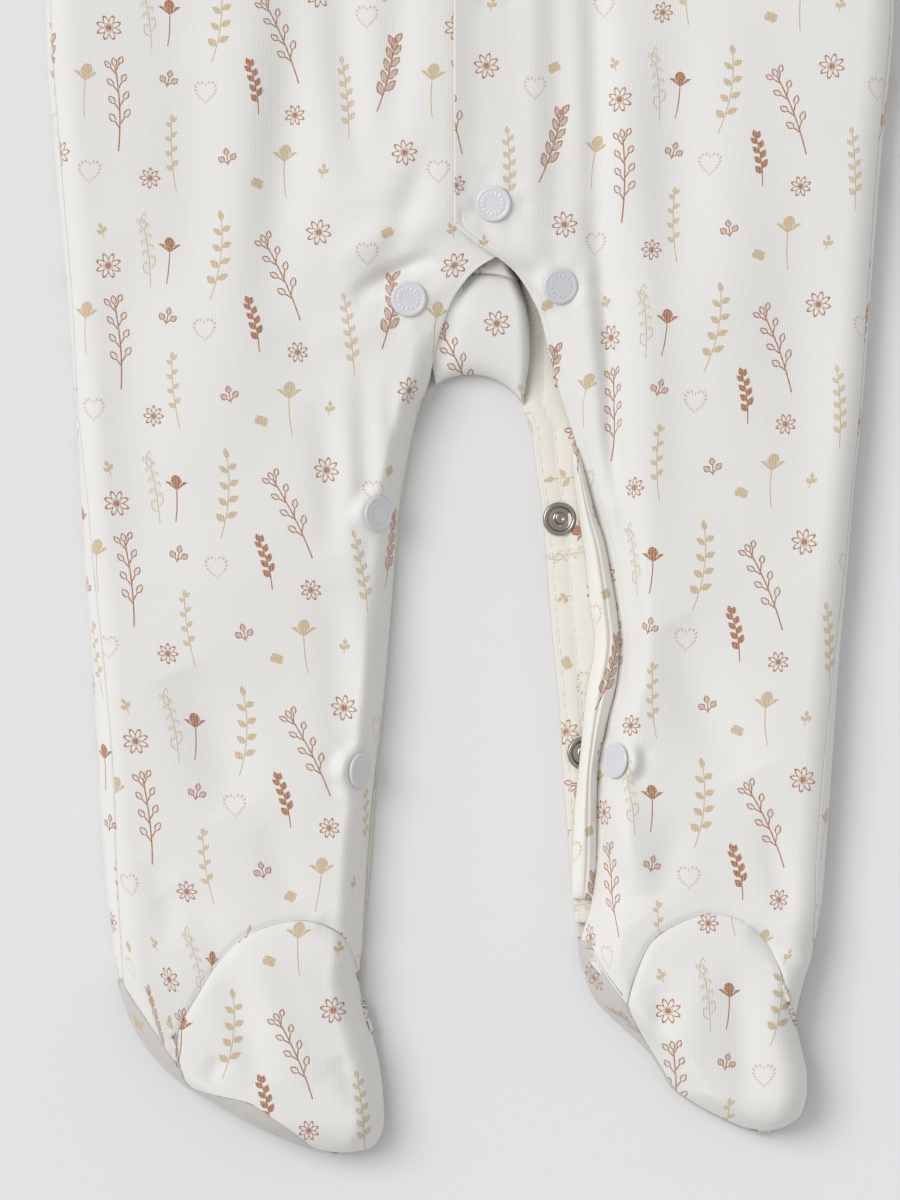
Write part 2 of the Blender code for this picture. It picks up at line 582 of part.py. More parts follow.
def turned(name, profile, place, normal, colour, segments=20):
    """A turned metal or plastic piece: a profile of radius and height, spun about its normal at a place."""
    mesh = bpy.data.meshes.new(name)
    shaped = bmesh.new()
    rings = []
    for radius, height in profile:
        angles = [2 * math.pi * k / segments for k in range(segments)]
        ring = [(0, 0)] if radius == 0 else [(radius * math.cos(a), radius * math.sin(a)) for a in angles]
        rings.append([shaped.verts.new((x * MM, y * MM, height * MM)) for x, y in ring])
    for lower, upper in zip(rings, rings[1:]):
        for k in range(segments):
            corners = [lower[k % len(lower)], lower[(k + 1) % len(lower)],
                       upper[(k + 1) % len(upper)], upper[k % len(upper)]]
            shaped.faces.new(list(dict.fromkeys(corners)))
    turn = Vector((0, 0, 1)).rotation_difference(Vector(normal)).to_matrix().to_4x4()
    turn.translation = Vector((place[0] * MM, (place[1] - ORIGIN_Y) * MM, place[2] * MM))
    shaped.transform(turn)
    shaped.to_mesh(mesh)
    shaped.free()
    mesh.shade_smooth()
    mesh.set_sharp_from_angle(angle=math.radians(35))
    piece = bpy.data.objects.new(name, mesh)
    bpy.context.collection.objects.link(piece)
    mesh.materials.append(colour)
    return piece


def snap_cap(name, x, y, side, colour):
    """A snap's cap: a low ringed disc lying on a front, just clear of the cloth all round."""
    def surface(px, py):
        return front_height(px, py, side) + (overlap_rise(px, py) if side == "left" else 0)

    step = SNAP_RADIUS / 2
    slope_x = (surface(x + step, y) - surface(x - step, y)) / (2 * step)
    slope_y = (surface(x, y + step) - surface(x, y - step)) / (2 * step)
    normal = np.array((-slope_x, -slope_y, 1.0)) / math.hypot(slope_x, slope_y, 1)
    angles = np.linspace(0, 2 * math.pi, 25)
    out_x, out_y = SNAP_RADIUS * np.cos(angles), SNAP_RADIUS * np.sin(angles)
    proud = surface(x + out_x, y + out_y) - surface(x, y) - slope_x * out_x - slope_y * out_y
    lift = max(0.0, float(proud.max()) * normal[2]) + 2 * GAP
    place = np.array((x, y, float(surface(x, y)))) + normal * lift
    r, h = SNAP_RADIUS, SNAP_HEIGHT
    profile = ((0, 0), (r - 0.3, 0), (r, 0.35), (r, h - 0.5), (r - 0.4, h - 0.1), (r - 1, h),
               (r - 1.7, h - 0.3), (0, h - 0.3))
    return turned(f"snap_cap_{name}", profile, place, normal, colour)


def stud(name, x, y, colour):
    """The socket half of a snap on the open placket: a dished ring with a post in the middle."""
    r = STUD_RADIUS
    profile = ((0, 0), (r, 0), (r, 0.6), (r - 0.6, 1.0), (r - 1.2, 0.9), (r - 2, 0.4), (1.9, 0.4),
               (1.7, 0.95), (1.0, 1.0), (0, 0.8))
    return turned(name, profile, (x, y, LOW_LAYER + GAP), (0, 0, 1), colour)


def build():
    clear_scene()
    white = material("interlock", WHITE)
    cream = material("facing", CREAM)
    rib = material("rib", WHITE)
    cap = material("snap_caps", CAP, roughness=0.4)
    nickel = material("nickel", NICKEL, roughness=0.3, metallic=1.0)
    back_panel(white)
    crotch_tab(white)
    back_placket(cream)
    front_placket(white)
    neckband(rib)
    for side in ("right", "left"):
        front_panel(side, white)
        sleeve(side, white)
        vamp(side, white)
        sole(side, white)
    for name, x, y in zip(*INSEAM_CAPS.values(), strict=True):
        snap_cap(name, x, y, name.split("_")[0], cap)
    for k in range(FRONT_CAPS):
        cap_y = FIRST_FRONT_CAP[1] + k * FRONT_CAP_STEP
        snap_cap(f"front_{k + 1}", FIRST_FRONT_CAP[0], cap_y, "left", cap)
    for k, (x, y) in enumerate(STUDS):
        stud(f"stud_{k + 1}", x, y, nickel)


build()
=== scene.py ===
"""Footed baby sleepsuit in printed cotton interlock, laid flat on its back with the left inseam unsnapped.

Sizes are in millimetres: X runs across the garment, Y from the toes to the neck with 0 at the top of the
crotch arch, and Z up from the surface. "Right" and "left" are the wearer's, so the right side is at -X.
"""
import math

import bpy
import numpy as np
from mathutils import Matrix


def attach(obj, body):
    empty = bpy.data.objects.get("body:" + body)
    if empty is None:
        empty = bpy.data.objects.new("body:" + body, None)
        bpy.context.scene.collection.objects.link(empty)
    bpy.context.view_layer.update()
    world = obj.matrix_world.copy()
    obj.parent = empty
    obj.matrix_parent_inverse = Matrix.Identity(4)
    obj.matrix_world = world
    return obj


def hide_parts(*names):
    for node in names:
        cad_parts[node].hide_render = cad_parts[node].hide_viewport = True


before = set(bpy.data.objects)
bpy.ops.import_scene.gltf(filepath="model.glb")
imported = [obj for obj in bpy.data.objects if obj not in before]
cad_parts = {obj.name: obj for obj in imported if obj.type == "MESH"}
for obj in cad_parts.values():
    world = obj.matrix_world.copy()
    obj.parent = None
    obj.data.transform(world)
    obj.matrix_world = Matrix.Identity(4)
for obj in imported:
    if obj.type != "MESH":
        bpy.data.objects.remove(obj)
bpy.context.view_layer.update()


# ---- Back ------------------------------------------------------------------------------------------
# The back is one piece of cotton interlock under the trunk and both legs. Its sides roll up over the edge
# to the side seams. All the printed cloth is this knit, so the knit and its print are made here.

MM = 0.001
CLOTH = 1.0  # wall of one layer of interlock
WALE, COURSE = 0.82, 0.62  # the knit's ribs and rows
FUZZ = 2600.0  # specks of fuzz to the metre
GAP = 0.3
SEAM_GAP = 0.12  # between the edges of two pieces along a seam
LAYER = 1.8  # rise of a layer that lies on another
ORIGIN_Y = (346.0 - 225.4) / 2
WIDEST_Z = 4.5  # height of the rolled outer edge where it stands furthest out
LOW_LAYER = 2.7  # top of a layer that lies on the back
FLOOR_ROLL = 5.0
ARMPIT_Y, CHEST = 235.0, 122.0
SHOULDER, NECK_SIDE = (97.0, 329.0), (47.0, 340.0)
BACK_NECK_Y = 333.0
BACK_END = dict(right=-175.0, left=-163.0)
ARCH_WIDTH, ARCH_HEIGHT = 17.3, 16.5  # half width and height of the crotch arch
ARMHOLE_ROLL, TOE_ROLL, FOOT_HEIGHT = 9.0, 12.0, 19.0
FRAMED_Y = 116.0  # below this the cloth is seen closely, so its rows are finer
FINE, COARSE = 1.25, 2.6  # spacing of the rows

# The side outline, and how far the seam lies inside it on top, from the armpit to the heel.
SIDES = dict(
    y=(235, 170, 109, 62, 21, -7, -36, -54, -80, -106, -123, -138, -152, -166, -175),
    right=(122, 122, 123, 120.1, 116.3, 114.3, 112.6, 111.7, 109.6, 108.2, 107.3, 106.2, 105, 103.3, 102.1),
    left=(122, 122, 122.7, 118.9, 115.7, 113.7, 110.8, 109.4, 107, 105.2, 104.1, 103, 101.8, 99.2, 96.8),
    right_seam=(2.6, 2.2, 1.9, 1.9, 1.4, 0.8, 2.2, 2.9, 3.7, 4.9, 5.0, 4.1, 3.6, 2.8, 2.0),
    left_seam=(2.6, 2.0, 1.2, 1.2, 1.0, 0.8, 0.8, 1.0, 1.6, 2.6, 3.0, 3.0, 2.2, 0.8, 0.8),
    height=(13, 14, 14, 14, 14, 14.5, 15, 15, 15, 15, 15, 15, 15.5, 16.5, 17),
)
# The inner edge of each front: its place across, its height, and how wide it leans up to its full height.
RIGHT_FRONT = dict(
    y=(235, 60, 44, 36, 30.7, 27, 21, 14.2, 6.4, -2, -9, -21, -42, -65, -91, -123, -138, -152, -166, -174),
    edge=(-17, -17, -17, -11, -2.6, 1.2, 5.2, 7.8, 10.2, 11.8, 14.4, 17.4, 20.9, 22.6, 24.7, 28.4, 29.6,
          30.5, 31.3, 32),
    low=(12.6, 13.8, 13.8, 13.6, 13.4, 13, 12, 11, 9.5, 7.0, 3.6, 2, 2, 2, 2, 2, 2, 2.4, 3.4, 4.2),
    lean=(12, 12, 12, 11, 10, 9, 8, 7.5, 7, 7, 7, 7, 7.5, 7.5, 7.5, 7.5, 8, 8, 9, 9),
)
LEFT_FRONT = dict(
    y=(235, 60, 44, 38.6, 34.2, 29.3, 23.2, 16.5, 7, -4, -21, -40, -48, -59, -68, -78, -88, -103, -118, -138,
       -152, -162, -166),
    edge=(-4.4, -4.4, -4.4, 0.6, 6.7, 12.8, 17.1, 20.3, 22.6, 25.5, 31, 36, 38.6, 40.8, 42.3, 43.2, 42.4,
          38.9, 36.6, 36.4, 35.2, 32.4, 31.4),
    low=(15.8, 15.8, 15.8, 15.8, 15.6, 13.4, 11.4, 10, 8.4, 7, 5.2, 4.6, 4.6, 4.6, 4.6, 4.6, 4.6, 4.6, 4.6,
         4.4, 4.4, 4.4, 4.2),
    lean=(8, 8, 8, 10, 12, 14, 16, 16, 16, 15, 13, 10, 10, 10, 10, 9, 9, 9, 10, 11, 12, 12, 12),
)
BACK_INSEAM = dict(
    y=(-16.5, -41, -74, -94.5, -123, -148, -159, -166),
    right=(17.0, 20.2, 23.2, 24.9, 27.6, 29.4, 30.4, 30.8),
    left=(18.2, 21.2, 23.8, 25.8, 27.6, 29.6, 30.5, 31.2),
)
SIGN, FRONTS = dict(right=-1, left=1), dict(right=RIGHT_FRONT, left=LEFT_FRONT)
# Foot outlines below the ankle: the side towards -X, the side towards +X, and the sole's seam on top.
RIGHT_FOOT = dict(
    y=(-166, -175, -185, -192, -200, -205.6, -210.3, -215.8, -220, -223.6, -225.4),
    low_x=(-103.3, -102.1, -99, -95.6, -89.4, -82.9, -74.8, -65.5, -56.3, -47.6, -40),
    high_x=(-31.3, -32.2, -30.3, -28.1, -26.2, -25.4, -25, -24.8, -25.8, -28.4, -34),
    seam=(2.9, 2.0, 4.8, 6.6, 5.6, 2.5, 12.2, 11.0, 7.4, 3.0, 1.0),
)
LEFT_FOOT = dict(
    y=(-166, -175, -181, -187, -192, -197, -202, -207, -211, -214.5, -217.5, -219.2),
    low_x=(31.4, 33.6, 36.2, 42, 47.6, 52.4, 55.6, 58.8, 64.6, 71, 77.6, 83),
    high_x=(99.2, 96.8, 95.3, 94.2, 95.2, 96.4, 97.4, 97.5, 96.8, 95.4, 91, 87.5),
    seam=(4.0, 6.5, 8.0, 5.5, 2.5, 0.8, 0.6, 0.6, 0.6, 0.6, 0.6, 0.6),
)
FOLD_DEPTH = 1.25  # what the depths of the folds are multiplied by
# Folds in both layers: ends in plan, sideways bow, half width, depth (a ridge is negative).
CREASES = np.array((
    # x0, y0, x1, y1, bow, width, depth
    (-52, 132, -60, 15, 3, 8, 3.0),
    (-38, 126, -30, 52, -2, 6, 2.6),
    (-34, 21.5, -9, 33.5, 1.5, 2.9, 3.6),
    (-40, 31, -4, 44, 3, 4.6, -1.5),
    (-46, 12, -22, 16, -2, 5, -1.0),
    (35, 128, 36, 34, 1, 4.0, 3.0),
    (35.5, 50, 41, -38, 1.5, 3.2, 3.6),
    (39.5, -10, 47, -92, 2, 3.4, 2.6),
    (45, 96, 52, -60, 2, 6, -1.3),
    (24, 118, 27, 40, 1, 5, 1.2),
    (58, -72, 80, -115, -3, 9, 2.4),
    (-84, -86, -68, -126, 3, 9, 2.3),
    (-66, 100, -74, -30, 4, 12, -1.4),
    (78, 110, 74, -30, -4, 12, -1.3),
    (-20, 128, -24, 58, 1, 5, 1.5),
    (-44, -8, -40, -52, 2, 5, 1.5),
    (-36, 4, -33, -60, -1, 4, -0.9),
    (-70.8, -196, -75.7, -203.9, 0, 3, 1.0),
    (-38.6, -197, -31, -213, 1, 3.6, 1.5),
    (-62, -166, -44, -204, -3, 6, -1.3),
    (-72, -176, -60, -206, 2, 5, 1.2),
    (-46, -168, -34, -200, 2, 5, 0.9),
    (76, -168.5, 79, -215.5, 1, 5, 1.3),
    (66, -170, 64, -205, -1, 6, -1.0),
    (54, -176, 53, -197, 1, 3.6, 1.3),
    (80.5, -160, 98, -172, 0, 3.2, 1.8),
    (30, -160, 42, -167, 0, 3, 1.8),
    (34, -140, 47, -158, 2, 5, 1.6),
    (44, -118, 50, -150, -2, 6, -1.2),
    (-44, -158, -30, -168, 1, 3.4, 1.6),
    (-88, -150, -70, -170, 3, 6, 1.4),
    (-31, 5, -26, -90, -1, 3.5, 1.4),
    (-24, -2, -21, -34, 0.5, 2.4, 0.9),
    (-40, -60, -36, -130, 1, 6, 1.5),
    (90, 70, 96, -60, 3, 11, 1.6),
    (-98, 40, -94, -60, -2, 10, 1.5),
    (60, 130, 66, 20, -3, 10, 1.7),
    (-84, 120, -80, 20, 2, 11, 1.6),
    (8, 140, 12, 60, 1, 8, 0.7),
    (-12, 66, -27, 27, 1, 4, 1.6),
    (-60, -130, -50, -152, 0, 5, 0.8),
    (60, -128, 52, -154, 1, 5, 0.9),
    (86, -126, 92, -158, -1, 4, 0.9),
    (-92, -140, -86, -166, 1, 4.5, 1.0),
    (-70, 215, -40, 160, 3, 8, 1.2),
    (66, 220, 40, 150, -3, 9, 1.3),
    (-100, 228, -60, 196, 2, 7, 1.4),
    (100, 226, 64, 200, -2, 7, 1.2),
))


def cubic(values, slopes, k, span, t):
    """The cubic from row k to row k + 1, a span apart, that keeps their values and slopes, at share t."""
    rise = t * t * (3 - 2 * t)
    bend = t * (1 - t) * span * ((1 - t) * slopes[k] - t * slopes[k + 1])
    return values[k] * (1 - rise) + values[k + 1] * rise + bend


def along(table, column, y):
    """A table's column at height y: a cubic through its rows whose slope at a row is the harmonic mean of
    the slopes on its two sides, so that it never overshoots a row."""
    ys, values = (np.array(table[name], float)[::-1] for name in ("y", column))
    secants = np.diff(values) / np.diff(ys)
    product = np.maximum(secants[1:] * secants[:-1], 0)
    slopes = np.zeros(len(ys))
    slopes[1:-1] = 2 * product / np.where(product > 0, secants[1:] + secants[:-1], 1)
    y = np.clip(y, ys[0], ys[-1])
    k = np.clip(np.searchsorted(ys, y) - 1, 0, len(ys) - 2)
    span = ys[k + 1] - ys[k]
    return cubic(values, slopes, k, span, (y - ys[k]) / span)


def rounded(t):
    """A quarter circle, sqrt(1 - (1 - t)^2): upright at t = 0 and level from t = 1 on."""
    return np.sqrt(1 - (1 - np.clip(t, 0, 1)) ** 2)


def bell(off, width, power=2):
    """A smooth bump round 0: exp(-(off / width)^power)."""
    return np.exp(-((off / width) ** power))


def points_of(x, y, z):
    """Points from three coordinates, each a grid, a row or a column."""
    return np.stack(np.broadcast_arrays(x, y, z), -1)


def eased(t):
    """A smooth step, 3t^2 - 2t^3 between 0 and 1."""
    t = np.clip(t, 0, 1)
    return t * t * (3 - 2 * t)


def seam_line(side, y):
    """How far from the middle the side seam lies on top."""
    return along(SIDES, side, y) - along(SIDES, side + "_seam", y)


def folded(x, y, folds):
    """How far folds lower the cloth at x, y: for each fold depth * exp(-(off / width)^2) * sin(pi s)^0.7,
    where s is the share of its length and off the distance from its bowed line."""
    low = np.zeros(np.broadcast_shapes(np.shape(x), np.shape(y)))
    for x0, y0, x1, y1, bow, width, depth in folds:
        length = math.hypot(x1 - x0, y1 - y0)
        way = ((x1 - x0) / length, (y1 - y0) / length)
        s = ((x - x0) * way[0] + (y - y0) * way[1]) / length
        inside = np.clip(s, 0, 1)
        off = (y - y0) * way[0] - (x - x0) * way[1] - 4 * bow * inside * (1 - inside)
        low += depth * bell(off, width) * np.sin(math.pi * inside) ** 0.7
    return low


def rumple(x, y):
    """Slow, shallow unevenness of cloth lying loose: three crossing sine waves, together about 0.8 mm."""
    return (0.34 * np.sin(x / 9.1 + 0.8 * np.sin(y / 23.0)) + 0.24 * np.sin((x + 1.4 * y) / 17.3 + 1.1)
            + 0.22 * np.sin((y - 0.6 * x) / 12.7 + 0.9 * np.sin(x / 19.0)))


def foot_of(side):
    """A side's foot table and the columns of its outer and inner edges."""
    return (RIGHT_FOOT, "low_x", "high_x") if side == "right" else (LEFT_FOOT, "high_x", "low_x")


def front_height(x, y, side):
    """The upper surface of a side: z = low + (full - low) * sin at the inner edge, a quarter circle down to
    the widest line at the outer edge, the toe and the shoulder, less the folds."""
    foot, outer, inner = foot_of(side)
    sign, front = SIGN[side], FRONTS[side]
    across = sign * x
    on_leg = y > foot["y"][0]
    away_out = np.where(on_leg, along(SIDES, side, y), sign * along(foot, outer, y)) - across
    away_in = across - np.where(on_leg, along(front, "edge", y), sign * along(foot, inner, y))
    away_out = np.where(y > ARMPIT_Y, np.hypot(across - CHEST, y - ARMPIT_Y), away_out)
    roll = rounded(away_out / ARMHOLE_ROLL)
    toe = rounded((y - foot["y"][-1] + 0.4) / TOE_ROLL)
    slope = (NECK_SIDE[1] - SHOULDER[1]) / (SHOULDER[0] - NECK_SIDE[0])
    shoulder_y = SHOULDER[1] + slope * (SHOULDER[0] - across)
    shoulder = np.where(across > NECK_SIDE[0], rounded((shoulder_y - y) / ARMHOLE_ROLL), 1)
    blend = np.clip((-y - 150) / 40, 0, 1)
    full = along(SIDES, "height", y) * (1 - blend) + FOOT_HEIGHT * blend
    low = along(front, "low", y)
    rise = np.sin(np.clip(away_in / along(front, "lean", y), 0, 1) * math.pi / 2)
    upper = low + (full - low) * rise
    z = np.where(upper < WIDEST_Z, upper, WIDEST_Z + (upper - WIDEST_Z) * roll * toe * shoulder)
    return z - (FOLD_DEPTH * folded(x, y, CREASES) + rumple(x, y) + 0.4) * roll * rise * toe * shoulder


# The print repeats every REPEAT across and along. Each row is a motif: its kind, place and tilt.
REPEAT = (102.0, 68.5)
SPOTS = (
    # kind, across, along, tilt in degrees
    ("berries", 0, 0, 3), ("daisy", -1.7, 22.1, 0), ("heart", -7.5, -19.7, 0),
    ("small_daisy", 9.9, -21.2, 20), ("thin_twig", 16.8, -13.9, 4), ("buds", 15.1, 7.5, -15),
    ("heart", 25.8, 3.2, 0), ("leafy", 39.7, 5.2, 12), ("buds", 32.2, -15.1, 10), ("fern", 9.0, 25.9, 8),
    ("cup", 15.4, 23.5, -3), ("long_twig", 29.0, 25.0, -6), ("sprout", -3.8, 32.2, 20),
    ("berries", 48.1, 18.6, 24), ("daisy", 59.5, 31.7, 10), ("heart", 73.7, 25.0, 0),
    ("small_daisy", 52.5, -2.9, 0), ("pale_cup", 49.9, -19.1, 0), ("butterfly", 41.2, -22.6, -20),
    ("fine_twig", 67.3, 2.3, 6), ("sprout", 60.9, -19.1, -10), ("branch", 79.5, 8.7, -14),
    ("daisy", 84.7, -13.9, 30), ("pale_cup", 93.4, 4.1, -4), ("butterfly", 79.5, 31.5, 25),
)
BROWN, BEIGE, PALE = (0.635, 0.395, 0.225), (0.775, 0.69, 0.55), (0.765, 0.71, 0.615)
# One row for each kind of motif, in millimetres. form 0 is a stem with leaves, 1 a daisy, 2 a dotted heart
# and 3 a cup flower. Leaves start at first, pitch apart, at an angle from the stem in degrees.
MEASURES = ("form", "wide", "high", "first", "pitch", "last", "angle", "stalk", "leaf", "half", "solid",
            "bow", "line", "stagger", "ink")
MOTIFS = (
    # kind, then the measures in that order
    ("berries", 0, 5.2, 27, 6.6, 5.2, 3, 34, 2.5, 2.7, 0.76, 0.1, 0.9, 0.42, 0.2, BROWN),
    ("branch", 0, 4.6, 22, 4.6, 3.6, 4, 30, 0.5, 4.1, 1.0, 0.55, 0.8, 0.42, 0.4, BROWN),
    ("leafy", 0, 3.2, 16.5, 3.6, 2.9, 3, 36, 0.3, 2.7, 0.72, 1, 0.8, 0.36, 0.5, BROWN),
    ("fern", 0, 3.2, 20, 3.4, 3.3, 4, 22, 0.2, 3.9, 0.95, 0.1, 0.8, 0.36, 0.5, PALE),
    ("long_twig", 0, 4.0, 26, 4.8, 4.7, 3, 56, 0.4, 3.0, 0.78, 1, 1.9, 0.36, 0.25, BEIGE),
    ("thin_twig", 0, 2.8, 22, 6.0, 4.2, 3, 50, 0.2, 2.1, 0.55, 0.8, -0.8, 0.32, 0.3, BEIGE),
    ("fine_twig", 0, 2.8, 24, 4.0, 3.6, 4, 40, 0.5, 2.3, 0.6, 0.7, 0.6, 0.32, 0.3, BEIGE),
    ("sprout", 0, 1.8, 4.4, 1.2, 1.6, 0, 45, 0.3, 1.8, 0.5, 1, 0.2, 0.3, 0.2, BEIGE),
    ("buds", 0, 3.0, 5.0, 0.4, 2, 0, 46, 1.3, 2.3, 0.8, 0.5, 0.1, 0.36, 0.1, BROWN),
    ("butterfly", 0, 1.9, 2.8, 0.5, 1.1, 1, 64, 0.0, 2.1, 0.75, 1, 0, 0.3, 0, BEIGE),
    ("daisy", 1, 3.6, 7, 0, 0, 0, 0, 0, 3.5, 0.66, 0, 0, 0.27, 0, BROWN),
    ("small_daisy", 1, 2.9, 5.6, 0, 0, 0, 0, 0, 2.8, 0.52, 0, 0, 0.25, 0, BROWN),
    ("heart", 2, 3.5, 6, 0, 0, 0, 0, 0, 3.0, 1, 0, 0, 0.62, 0, PALE),
    ("cup", 3, 3.0, 13.5, 0, 0, 0, 0, 0, 4.4, 2.7, 1, 0.5, 0.36, 0, BROWN),
    ("pale_cup", 3, 3.8, 15.5, 0, 0, 0, 0, 0, 5.0, 3.4, 1, -0.6, 0.34, 0, BEIGE),
)
KINDS = {kind: dict(zip(MEASURES, row)) for kind, *row in MOTIFS}


def linear(colour):
    """A display colour as linear light: ((c + 0.055) / 1.055)^2.4."""
    return ((np.array(colour) + 0.055) / 1.055) ** 2.4


def unturned(du, dv, turn):
    """A place in a motif's own directions, from its offset on the cloth and the motif's tilt."""
    return du * np.cos(turn) + dv * np.sin(turn), dv * np.cos(turn) - du * np.sin(turn)


def printed(u, v):
    """For each quad of cloth at u, v (its four corners in the print's own millimetres): the motif nearest
    its middle by max(|x'| - wide, 0)^2 + max(|y'| - high / 2, 0)^2, its corners in that motif's own
    turned place, and the motif's measures."""
    middle = (u.mean(1), v.mean(1))
    best = np.full(len(u), np.inf)
    chosen = np.zeros(len(u), int)
    for k, (kind, across, up, tilt) in enumerate(SPOTS):
        du = (middle[0] - across + REPEAT[0] / 2) % REPEAT[0] - REPEAT[0] / 2
        dv = (middle[1] - up + REPEAT[1] / 2) % REPEAT[1] - REPEAT[1] / 2
        x, y = unturned(du, dv, math.radians(tilt))
        far = np.maximum(np.abs(x) - KINDS[kind]["wide"], 0) ** 2
        far += np.maximum(np.abs(y) - KINDS[kind]["high"] / 2, 0) ** 2
        chosen = np.where(far < best, k, chosen)
        best = np.minimum(far, best)
    place = np.array([spot[1:3] for spot in SPOTS], float)[chosen]
    turn = np.radians([spot[3] for spot in SPOTS])[chosen, None]
    base = [np.round((middle[k] - place[:, k]) / REPEAT[k]) * REPEAT[k] + place[:, k] for k in (0, 1)]
    x, y = unturned(u - base[0][:, None], v - base[1][:, None], turn)
    kinds = [KINDS[spot[0]] for spot in SPOTS]

    def measures(*names):
        """The named measures of each quad's motif."""
        return np.array([[kind[name] for name in names] for kind in kinds], float)[chosen]

    angles = np.radians(measures("angle"))
    return dict(
        spot=np.stack([x, y, np.broadcast_to(measures("stagger"), x.shape)], -1),
        stem=measures("high", "first", "pitch", "last"),
        leaf=np.hstack((np.sin(angles), np.cos(angles), measures("stalk", "leaf"))),
        mark=measures("half", "solid", "bow", "line"),
        ink=np.array([[*linear(kind["ink"]), kind["form"]] for kind in kinds])[chosen],
    )


class Value:
    """One number at every point of a surface. Python's operators on it add Math nodes to its material."""

    def __init__(self, tree, socket):
        self.tree, self.socket = tree, socket

    def math(self, operation, *others, clamp=False, first=None):
        terms = (self, *others) if first is None else (first, self)
        settings = dict(operation=operation, use_clamp=clamp)
        made = node(self.tree, "ShaderNodeMath", settings, dict(enumerate(terms)))
        return Value(self.tree, made.outputs[0])


# Which Math node stands for each of Python's operators, with the value first and, in turn, second.
OPERATORS = dict(add="ADD", radd="ADD", sub="SUBTRACT", mul="MULTIPLY", rmul="MULTIPLY", truediv="DIVIDE",
                 mod="FLOORED_MODULO", gt="GREATER_THAN", lt="LESS_THAN", abs="ABSOLUTE")
for name, operation in OPERATORS.items():
    setattr(Value, f"__{name}__", lambda self, *other, operation=operation: self.math(operation, *other))
for name, operation in dict(rsub="SUBTRACT", rtruediv="DIVIDE").items():
    setattr(Value, f"__{name}__", lambda self, other, operation=operation: self.math(operation, first=other))


def node(tree, kind, settings=None, sockets=None):
    """A node of a kind, with its settings and then its sockets' values or links set."""
    made = tree.nodes.new(kind)
    for name, value in (settings or {}).items():
        setattr(made, name, value)
    for name, value in (sockets or {}).items():
        if isinstance(value, Value):
            value = value.socket
        if isinstance(value, bpy.types.NodeSocket):
            tree.links.new(value, made.inputs[name])
        else:
            made.inputs[name].default_value = value
    return made


def material(name, **values):
    """A new material's node tree and shader, with some of the shader's inputs set."""
    made = bpy.data.materials.new(name)
    made.use_nodes = True
    shader = made.node_tree.nodes["Principled BSDF"]
    for key, value in values.items():
        shader.inputs[key.replace("_", " ")].default_value = value
    return made, made.node_tree, shader


def mixed(tree, share, low, high):
    """A blend of two colours or sockets by a share."""
    low, high = ((*c, 1) if isinstance(c, tuple) else c for c in (low, high))
    return node(tree, "ShaderNodeMix", dict(data_type="RGBA"), {0: share, 6: low, 7: high}).outputs[2]


def noise(tree, scale, **more):
    """Noise of a scale, in turns to the metre, over the object's own place."""
    place = node(tree, "ShaderNodeTexCoord").outputs["Object"]
    made = node(tree, "ShaderNodeTexNoise", sockets=dict(Vector=place, Scale=scale, **more))
    return Value(tree, made.outputs["Fac"])


def surface(tree, shader, colour, height, strength, depth):
    """Joins a shader to its colour and to a relief of a height, with a strength and a depth in metres."""
    bump = node(tree, "ShaderNodeBump", sockets=dict(Strength=strength, Distance=depth, Height=height))
    tree.links.new(colour, shader.inputs["Base Color"])
    tree.links.new(bump.outputs[0], shader.inputs["Normal"])


def attribute(tree, name):
    """The four numbers that a mesh attribute holds at each point."""
    read = node(tree, "ShaderNodeAttribute", dict(attribute_name=name))
    parts = node(tree, "ShaderNodeSeparateXYZ", sockets={0: read.outputs["Vector"]})
    return [Value(tree, socket) for socket in (*parts.outputs, read.outputs["Alpha"])]


def within(distance, soft=0.09):
    """1 where a distance is below 0 and 0 above it, over a soft edge: clamp(0.5 - distance / soft)."""
    return (distance * (-1 / soft)).math("ADD", 0.5, clamp=True)


def one_leaf(c, s, length, half, solid, line, roundness):
    """A leaf from s = 0 to its length, c off its middle line: its half width is half *
    sin(pi t^0.85)^roundness, drawn as an outline of the line's width with a share of its inside filled."""
    t = s / length
    swell = (t.math("MULTIPLY", 1, clamp=True).math("POWER", 0.85) * math.pi).math("SINE")
    wide = swell.math("POWER", roundness) * half
    off = abs(c) - wide
    inside = within(off - line * 0.5)
    hollow = within(off + line * 0.5)
    return inside * (1 - hollow * (1 - solid)) * within(s - length - 0.1)


